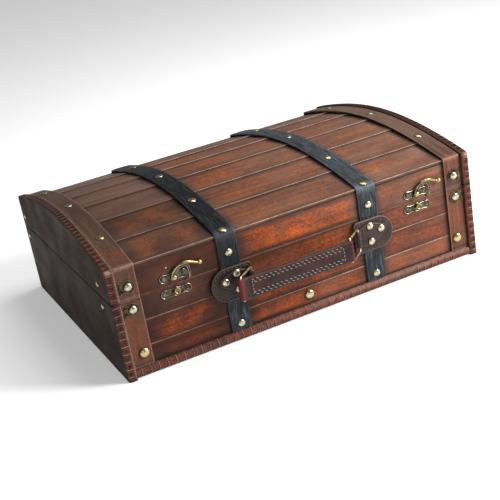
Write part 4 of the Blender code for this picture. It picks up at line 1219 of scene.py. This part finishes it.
def add_dome(shape, place, radius, height, stem, dome):
    """A pin with a domed head."""
    profile = [(stem, -STEM - 0.0003, 0.8), (stem, 0, 0.9)]
    profile += [(radius * 0.9, 0, 0.9), (radius, height * 0.2, 0.3)]
    profile += [(radius * out, height * up, dark) for out, up, dark in dome]
    add_turned(shape, profile, place, FRONT, 20, 0, 0.7)


for name, side in SIDES:
    x = side * LATCH_X
    for kind, body, z, reach, pin_z, pin, angle, node in (
        ("upper", "lid", UPPER_Z, UPPER_REACH, PIVOT_Z, RIVET, 0.5, "plate"),
        ("keeper", "base", KEEPER_Z, KEEPER_REACH, KNOB_Z, KNOB, 1.1, "keeper"),
    ):
        plate = Shape()
        add_plate(plate, lobed((x, z), reach), PLATE_PROFILE, place_on(-1, PLANK_BACKING))
        for end in (-1, 1):
            place = (x + end * reach, -PLANK_BACKING - 0.0004, z)
            add_screw(plate, place, FRONT, *LATCH_SCREW, angle + end)
        add_dome(plate, (x, -LATCH_FRONT - STEM, pin_z), *pin)
        build(plate, f"latch_{kind}_plate_{name}", body, BRONZE, f"latch_{node}_{name}", 50)

    hook = Shape()
    outline = [(x + u, PIVOT_Z + v) for u, v in stroke(HOOK_PATH, CLAW)]
    add_plate(hook, outline, HOOK_PROFILE, place_on(-1, HOOK_BACK))
    ridge = [point * CLAW for point in spline(HORN_PATH)]
    horn = [Vector((x + p.x, -HOOK_BACK - 0.001 - 0.5 * p.z, PIVOT_Z + p.y)) for p in ridge]
    # The horn's light is a painted highlight along its start, stronger on the left latch
    tones = []
    for i in range(len(horn)):
        share = i / (len(horn) - 1)
        gilt = 0.62 * max(0.2 + 0.2 * side, smooth((share - 0.3) / 0.4))
        tones.append((gilt, (0.36 - 0.26 * side) * (1 - smooth((share - 0.15) / 0.5)), 0.3, 0))
    add_tube(hook, horn, [p.z for p in ridge], tones)
    angles = np.linspace(0.12, math.pi - 0.12, 9)
    ball = [(math.sin(a) * BALL_RADIUS, -math.cos(a) * BALL_RADIUS, 0) for a in angles]
    add_turned(hook, ball, horn[-1], (1, 0, 0), 16, 0, 0.85)
    build(hook, "latch_swing_hook_" + name, "latch_" + name, BRONZE, "latch_hook_" + name, 50)


# Leather plates, tabs, rings and handle

PAD_Z = 0.0635
PAD_HALF = 0.018
PAD_INNER_X = 0.0605
PAD_OUTER_X = 0.107
# Plate and tab sections: inset and height in mm, light for wear with a painted highlight on the
# raised rim, and dark for painted shade at the foot and in the grooves
PAD_PROFILE = (
    (3, 2.6, 0, 1), (1.5, 2.4, 0, 1), (0.8, 0, 0, 1), (0.1, 0.1, 0, 0.8), (0, 1, 0.1, 0.3),
    (0, 2.7, 0.4, 0), (0.3, 3.4, 0.9, 0), (0.9, 3.8, 0.6, 0), (1.6, 3.8, 0.1, 0),
    (2.1, 3.5, 0, 0.55), (2.7, 3.4, 0, 0.7), (3.3, 3.6, 0, 0.2), (3.7, 3.7, 0, 0),
)
TAB_PROFILE = (
    (1, 0, 0, 1), (0.1, 0.1, 0, 0.8), (0, 0.8, 0.3, 0.1), (0.3, 1.3, 0.5, 0),
    (0.9, 1.6, 0.25, 0), (1.6, 1.6, 0, 0), (2, 1.4, 0, 0.5), (2.5, 1.6, 0, 0.1),
)
# The tab's corners and studs, as shares of its length and of the leather plate's height
TAB = ((0, -0.25), (0, 0.25), (0.42, 0.42), (1, 0.21), (1, 0.02), (0.42, -0.33))
TAB_STUDS = ((0.45, 0.29), (0.83, 0.115), (0.45, -0.19))
TAB_LENGTH = 0.0347
TAB_BACK = PLANK_BACKING + 0.0038 + GAP
TAB_FRONT = TAB_BACK + 0.0016
BARREL = ((1.6, 0.4, 0.1, 0.7), (2.1, 0, 0.5, 0), (2.7, 0.3, 0.5, 0), (2.9, 1.2, 0.1, 0))
BARREL_HALF = 0.009
RING_WIRE = 0.00115
RING_HALF = 0.01275
STITCH_RADIUS = 0.00042
PAD_CORNER = 0.004
PAD_STEP = 0.0016
PAD_SEAM = 0.0027
PAD_SEAM_HEIGHT = 0.0034
PAD_STITCH_STEP = 0.0044
PAD_STITCH = 0.003
TAB_CORNER = 0.003
TAB_STEP = 0.0013
RING_CORNER = 0.0024
RING_STEP = 0.0009


def pad_place(side):
    """Puts a plate's points on the front planks and over the strap that runs under it."""

    def place(across, up, height):
        over = abs(across - side * STRAP_X) - STRAP_WIDTH / 2
        lift = 0.0023 * (1 - smooth((over - 0.0003) / 0.0012))
        return (across, -PLANK_BACKING - max(height, lift if height < 0.003 else height), up)

    return place


for name, side in SIDES:
    low, high = PAD_Z - PAD_HALF, PAD_Z + PAD_HALF
    corners = [(PAD_INNER_X, high), (PAD_INNER_X, low), (PAD_OUTER_X, low), (PAD_OUTER_X, high)]
    outline = rounded(corners, (PAD_CORNER, PAD_CORNER, PAD_HALF - GAP, PAD_HALF - GAP), 12)
    outline = turn(resample([(side * x, z) for x, z in outline], PAD_STEP))
    darker = 0.44 if side < 0 else 0
    pad = Shape()
    add_plate(pad, outline, PAD_PROFILE, pad_place(side), 0.2 + side * 0.1, 0.0001, darker)
    build(pad, "leather_plate_" + name, "base", PAD_LEATHER, "handle_plate_" + name, 60)
    stitches = Shape()
    seam = resample([tuple(point) for point in inset(outline, PAD_SEAM)], PAD_STITCH_STEP)
    for (x, z), (next_x, next_z) in zip(seam, seam[1:] + seam[:1]):
        middle = ((x + next_x) / 2, -PLANK_BACKING - PAD_SEAM_HEIGHT, (z + next_z) / 2)
        add_stitch(stitches, middle, (next_x - x, 0, next_z - z), FRONT, PAD_STITCH)
    build(stitches, "leather_plate_stitches_" + name, "base", DARK_THREAD)

    corners = [(side * (RING_X + u * TAB_LENGTH), RING_Z + v * 2 * PAD_HALF) for u, v in TAB]
    outline = turn(resample(rounded(corners, (0, 0) + (TAB_CORNER,) * 4), TAB_STEP))
    tab = Shape()
    add_plate(tab, outline, TAB_PROFILE, place_on(-1, TAB_BACK), 0.6, 0, darker)
    section = even_section(BARREL, BARREL_HALF)
    add_sleeve(tab, section, 28, (side * RING_X, RING_Y, RING_Z), seed=0.4)
    build(tab, "leather_tab_" + name, "base", PAD_LEATHER, "handle_tab_" + name, 60)
    studs = Shape()
    for u, v in TAB_STUDS:
        place = (side * (RING_X + u * TAB_LENGTH), -TAB_FRONT, RING_Z + v * 2 * PAD_HALF)
        add_stud(studs, place, FRONT, STUD, u + v + side)
    build(studs, "tab_studs_" + name, "base", BRASS)

    lean = RING_LEAN.normalized()
    reach = RING_LEAN.length
    corners = [(0, -RING_HALF), (reach, -RING_HALF), (reach, RING_HALF), (0, RING_HALF)]
    loop = resample(rounded(corners, (RING_CORNER,) * 4, 7), RING_STEP)
    path = [Vector((side * RING_X, RING_Y, RING_Z + v)) + lean * u for u, v in loop]
    ring = Shape()
    add_tube(ring, path, [RING_WIRE] * len(path), [PLAIN] * len(path), closed=True)
    build(ring, "brass_ring_" + name, "ring_" + name, RING_BRASS, "handle_ring_" + name)

GRIP_HALF = 0.0113
GRIP_THICKNESS = 0.00215
GRIP_SEED = 0.8
GRIP_COLUMNS = 96
GRIP_STITCHES = 20
GRIP_STITCH = 0.0027
END_STITCH = 0.0026
GRIP_GAP = 0.0019
# Lower half of the grip's section: (height share, proudness share, light, dark). The light is
# wear with a painted highlight at the edges, and the dark is painted shade in the stitch grooves
GRIP_ROWS = (
    (-1, 0.55, 0.5, 0.1), (-0.985, 0.8, 0.5, 0), (-0.94, 1, 0.35, 0), (-0.8, 1, 0.05, 0),
    (-0.72, 0.93, 0, 0.4), (-0.64, 1, 0, 0.1), (-0.55, 1, 0, 0.1), (-0.46, 0.93, 0, 0.4),
    (-0.38, 1.02, 0, 0), (-0.2, 1.06, 0, 0), (0, 1.08, 0, 0),
)
LOOP = ((1.7, 0.4, 0, 0.6), (2.2, 0, 0.3, 0), (2.9, 0.4, 0.3, 0), (3.2, 1.3, 0, 0))
left_bar, right_bar = (Vector((side * RING_X, RING_Y, RING_Z)) + RING_LEAN for _, side in SIDES)
rows = list(GRIP_ROWS) + [(-h, *rest) for h, *rest in GRIP_ROWS[-2::-1]]
rings = []
start = left_bar.x + GRIP_GAP
end = right_bar.x - GRIP_GAP
for column in range(GRIP_COLUMNS + 1):
    x = start + (end - start) * column / GRIP_COLUMNS
    near = min(x - left_bar.x, right_bar.x - x)
    thick = GRIP_THICKNESS + 0.0007 * (1 - smooth((near - 0.001) / 0.008))
    flat = smooth((near - 0.009) / 0.004)
    # Painted shade where the leather folds round the ring
    fold = 0.65 * bell(near - 0.0098, 0.0016)
    red = 0.9 * (1 - smooth((x - left_bar.x - 0.001) / 0.004))
    ring = []
    for out in (-1, 1):
        for h, proud, light, dark in rows[::-out]:
            level = proud if abs(h) > 0.9 else 1 + (proud - 1) * flat
            level = thick * level + 0.00008 * ripple(x * 90, h * 4, out)
            worn = max(0, light * (0.8 + 0.4 * ripple(x * 60, h, 2)))
            place = (x, left_bar.y + out * level, RING_Z + h * GRIP_HALF)
            ring.append((place, (red, worn, max(dark * flat, fold), GRIP_SEED)))
    rings.append(ring)
grip = Shape()
grip.add_rings(rings)
for bar, red in ((left_bar, 0.9), (right_bar, 0.3)):
    add_sleeve(grip, even_section(LOOP, GRIP_HALF), 32, bar, glow=red, seed=GRIP_SEED)
build(grip, "leather_grip", "grip", HANDLE_LEATHER, "handle_grip", 60)

# Two slanted rows of stitches along each long edge of the grip, and one row across each end
stitches = Shape()
first = left_bar.x + 0.0135
last = right_bar.x - 0.0105
step = (last - first) / GRIP_STITCHES
for out in (FRONT, BACK):
    y = left_bar.y + out[1] * GRIP_THICKNESS
    for level, shift in ((0.72, 0), (0.46, 0.5), (-0.46, 0), (-0.72, 0.5)):
        for i in range(GRIP_STITCHES + 1):
            x = first + (i + shift - 0.25) * step
            if x < last + 0.001:
                place = (x, y, RING_Z + level * GRIP_HALF)
                add_stitch(stitches, place, (1, 0, -0.5), out, GRIP_STITCH)
    for x in (first - 0.0022, last + 0.0012):
        for level in (-0.5, -0.17, 0.17, 0.5):
            place = (x, y, RING_Z + level * GRIP_HALF)
            add_stitch(stitches, place, (0.25, 0, 1), out, END_STITCH)
build(stitches, "leather_grip_stitches", "grip", THREAD)


# Hinges at the back

HINGE_X = 0.136
HINGE_HALF = 0.02
KNUCKLE_Y = 0.1592
LEAF_GAP = 0.00035
LEAF_HEIGHT = 0.0158
LEAF = 0.0011
LEAF_CORNERS = (0.0008, 0.0008, 0.003, 0.003)
LEAF_SCREW = (0.0019, 0.0006)
WEB_FROM, WEB_TO = 0.1535, 0.1575
HINGE_PIN = ((0.0004, 0, 0.2), (0.001, 0.0002, 0.2), (0.001, 0.0398, 0.2), (0.0004, 0.04, 0.2))
LID_KNUCKLES = ((-0.0078, 0.0078),)
BASE_KNUCKLES = ((-0.02, -0.0081), (0.0081, 0.02))
# The leaf's section: inset and height in mm, a painted highlight on its rim, and patina
LEAF_PROFILE = (
    (1, 0, 0, 1), (0, 0, 0, 1), (0, 0.8, 0.3, 0.2), (0.3, 1.2, 0.9, 0), (1, 1.2, 0.1, 0.1),
)
# From an end of a knuckle: (radius, distance)
KNUCKLE = ((0.0013, 0.0003), (0.0022, 0), (0.0026, 0.0004))
LEAF_SCREWS = ((-0.014, 0.009), (0, 0.011), (0.014, 0.009))
for name, side in SIDES:
    x = side * HINGE_X
    for body, up, knuckles in (("lid", 1, LID_KNUCKLES), ("base", -1, BASE_KNUCKLES)):
        near = SEAM + up * LEAF_GAP
        far = near + up * LEAF_HEIGHT
        low, high = x - HINGE_HALF, x + HINGE_HALF
        corners = [(low, near), (high, near), (high, far), (low, far)][::up]
        leaf = Shape()
        outline = rounded(corners, LEAF_CORNERS[::up], 5)
        add_plate(leaf, outline, LEAF_PROFILE, place_on(1, PLANK_BACKING))
        for u, v in LEAF_SCREWS:
            place = (x + u, PLANK_BACKING + LEAF, SEAM + up * v)
            add_screw(leaf, place, BACK, *LEAF_SCREW, u * 90)
        for start, end in knuckles:
            # The web between the leaf and its knuckle
            first, last = x + start + 0.0004, x + end - 0.0004
            web = ((first, WEB_FROM), (last, WEB_FROM), (last, WEB_TO), (first, WEB_TO))
            leaf.add([(u, y, z) for z in (near, near + up * LEAF) for u, y in web], BOX_FACES)
            section = [(r, start + rise, 0.2, 0.1) for r, rise in KNUCKLE]
            section += [(r, end - rise, 0.2, 0.1) for r, rise in KNUCKLE[::-1]]
            add_sleeve(leaf, section, 20, (x, KNUCKLE_Y, SEAM), along_x=True)
        build(leaf, f"hinge_{body}_plate_{name}", body, BRONZE, f"hinge_{body}_leaf_{name}")
    pin = Shape()
    add_turned(pin, HINGE_PIN, (x - HINGE_HALF, KNUCKLE_Y, SEAM), (1, 0, 0), 14)
    build(pin, "hinge_steel_pin_" + name, "base", BRONZE, "hinge_pin_" + name)


# Floor, light and camera

FLOOR_HALF = 6
FLOOR_LOOK = {
    "Base Color": (0.9, 0.9, 0.9, 1),
    "Roughness": 0.9,
    "Emission Color": (1, 1, 1, 1),
    "Emission Strength": 0.3,
}
LIGHT_TARGET = Vector((0, 0, 0.05))
# Lights: name, place, sides, power in watts
LIGHTS = (
    ("key", (1.1, -0.95, 0.85), (0.6, 0.6), 40),
    ("fill", (-0.65, -1.2, 0.45), (0.35, 0.35), 1.6),
    ("top", (0.55, 0.05, 1.5), (0.9, 0.9), 13),
)
# The camera, as fitted to the corners of the box
EYE = (-0.4419, -1.0766, 0.4927)
RIGHT = Vector((0.8828, -0.4405, -0.1635))
DOWN = Vector((-0.3047, -0.272, -0.9128))
LOOK = Vector((0.3576, 0.8556, -0.3743))
LENS = 77.64
SHIFT = (-0.0038, 0.0024)
SKY_STRENGTH = 0.25


mesh = bpy.data.meshes.new("floor")
corners = [(FLOOR_HALF * u, FLOOR_HALF * v, 0) for u, v in ((-1, -1), (1, -1), (1, 1), (-1, 1))]
mesh.from_pydata(corners, [], [(0, 1, 2, 3)])
material = bpy.data.materials.new("floor_finish")
material.use_nodes = True
for socket, value in FLOOR_LOOK.items():
    material.node_tree.nodes["Principled BSDF"].inputs[socket].default_value = value
mesh.materials.append(material)
floor = add_item("floor", mesh)

for name, place, size, power in LIGHTS:
    light = bpy.data.lights.new(name, "AREA")
    light.shape = "RECTANGLE"
    light.size, light.size_y = size
    light.energy = power
    item = add_item(name, light)
    item.location = place
    item.rotation_euler = (LIGHT_TARGET - Vector(place)).to_track_quat("-Z", "Y").to_euler()

camera = bpy.data.cameras.new("camera")
camera.sensor_width = 36
camera.lens = LENS
camera.shift_x, camera.shift_y = SHIFT
item = add_item("camera", camera)
turned = Matrix((RIGHT, -DOWN, -LOOK)).transposed().to_4x4()
item.matrix_world = Matrix.Translation(EYE) @ turned
bpy.context.scene.camera = item

world = bpy.data.worlds.new("studio")
world.use_nodes = True
sky = world.node_tree.nodes["Background"].inputs
sky["Color"].default_value = (1, 1, 1, 1)
sky["Strength"].default_value = SKY_STRENGTH
bpy.context.scene.world = world
bpy.context.scene.view_settings.view_transform = "Standard"
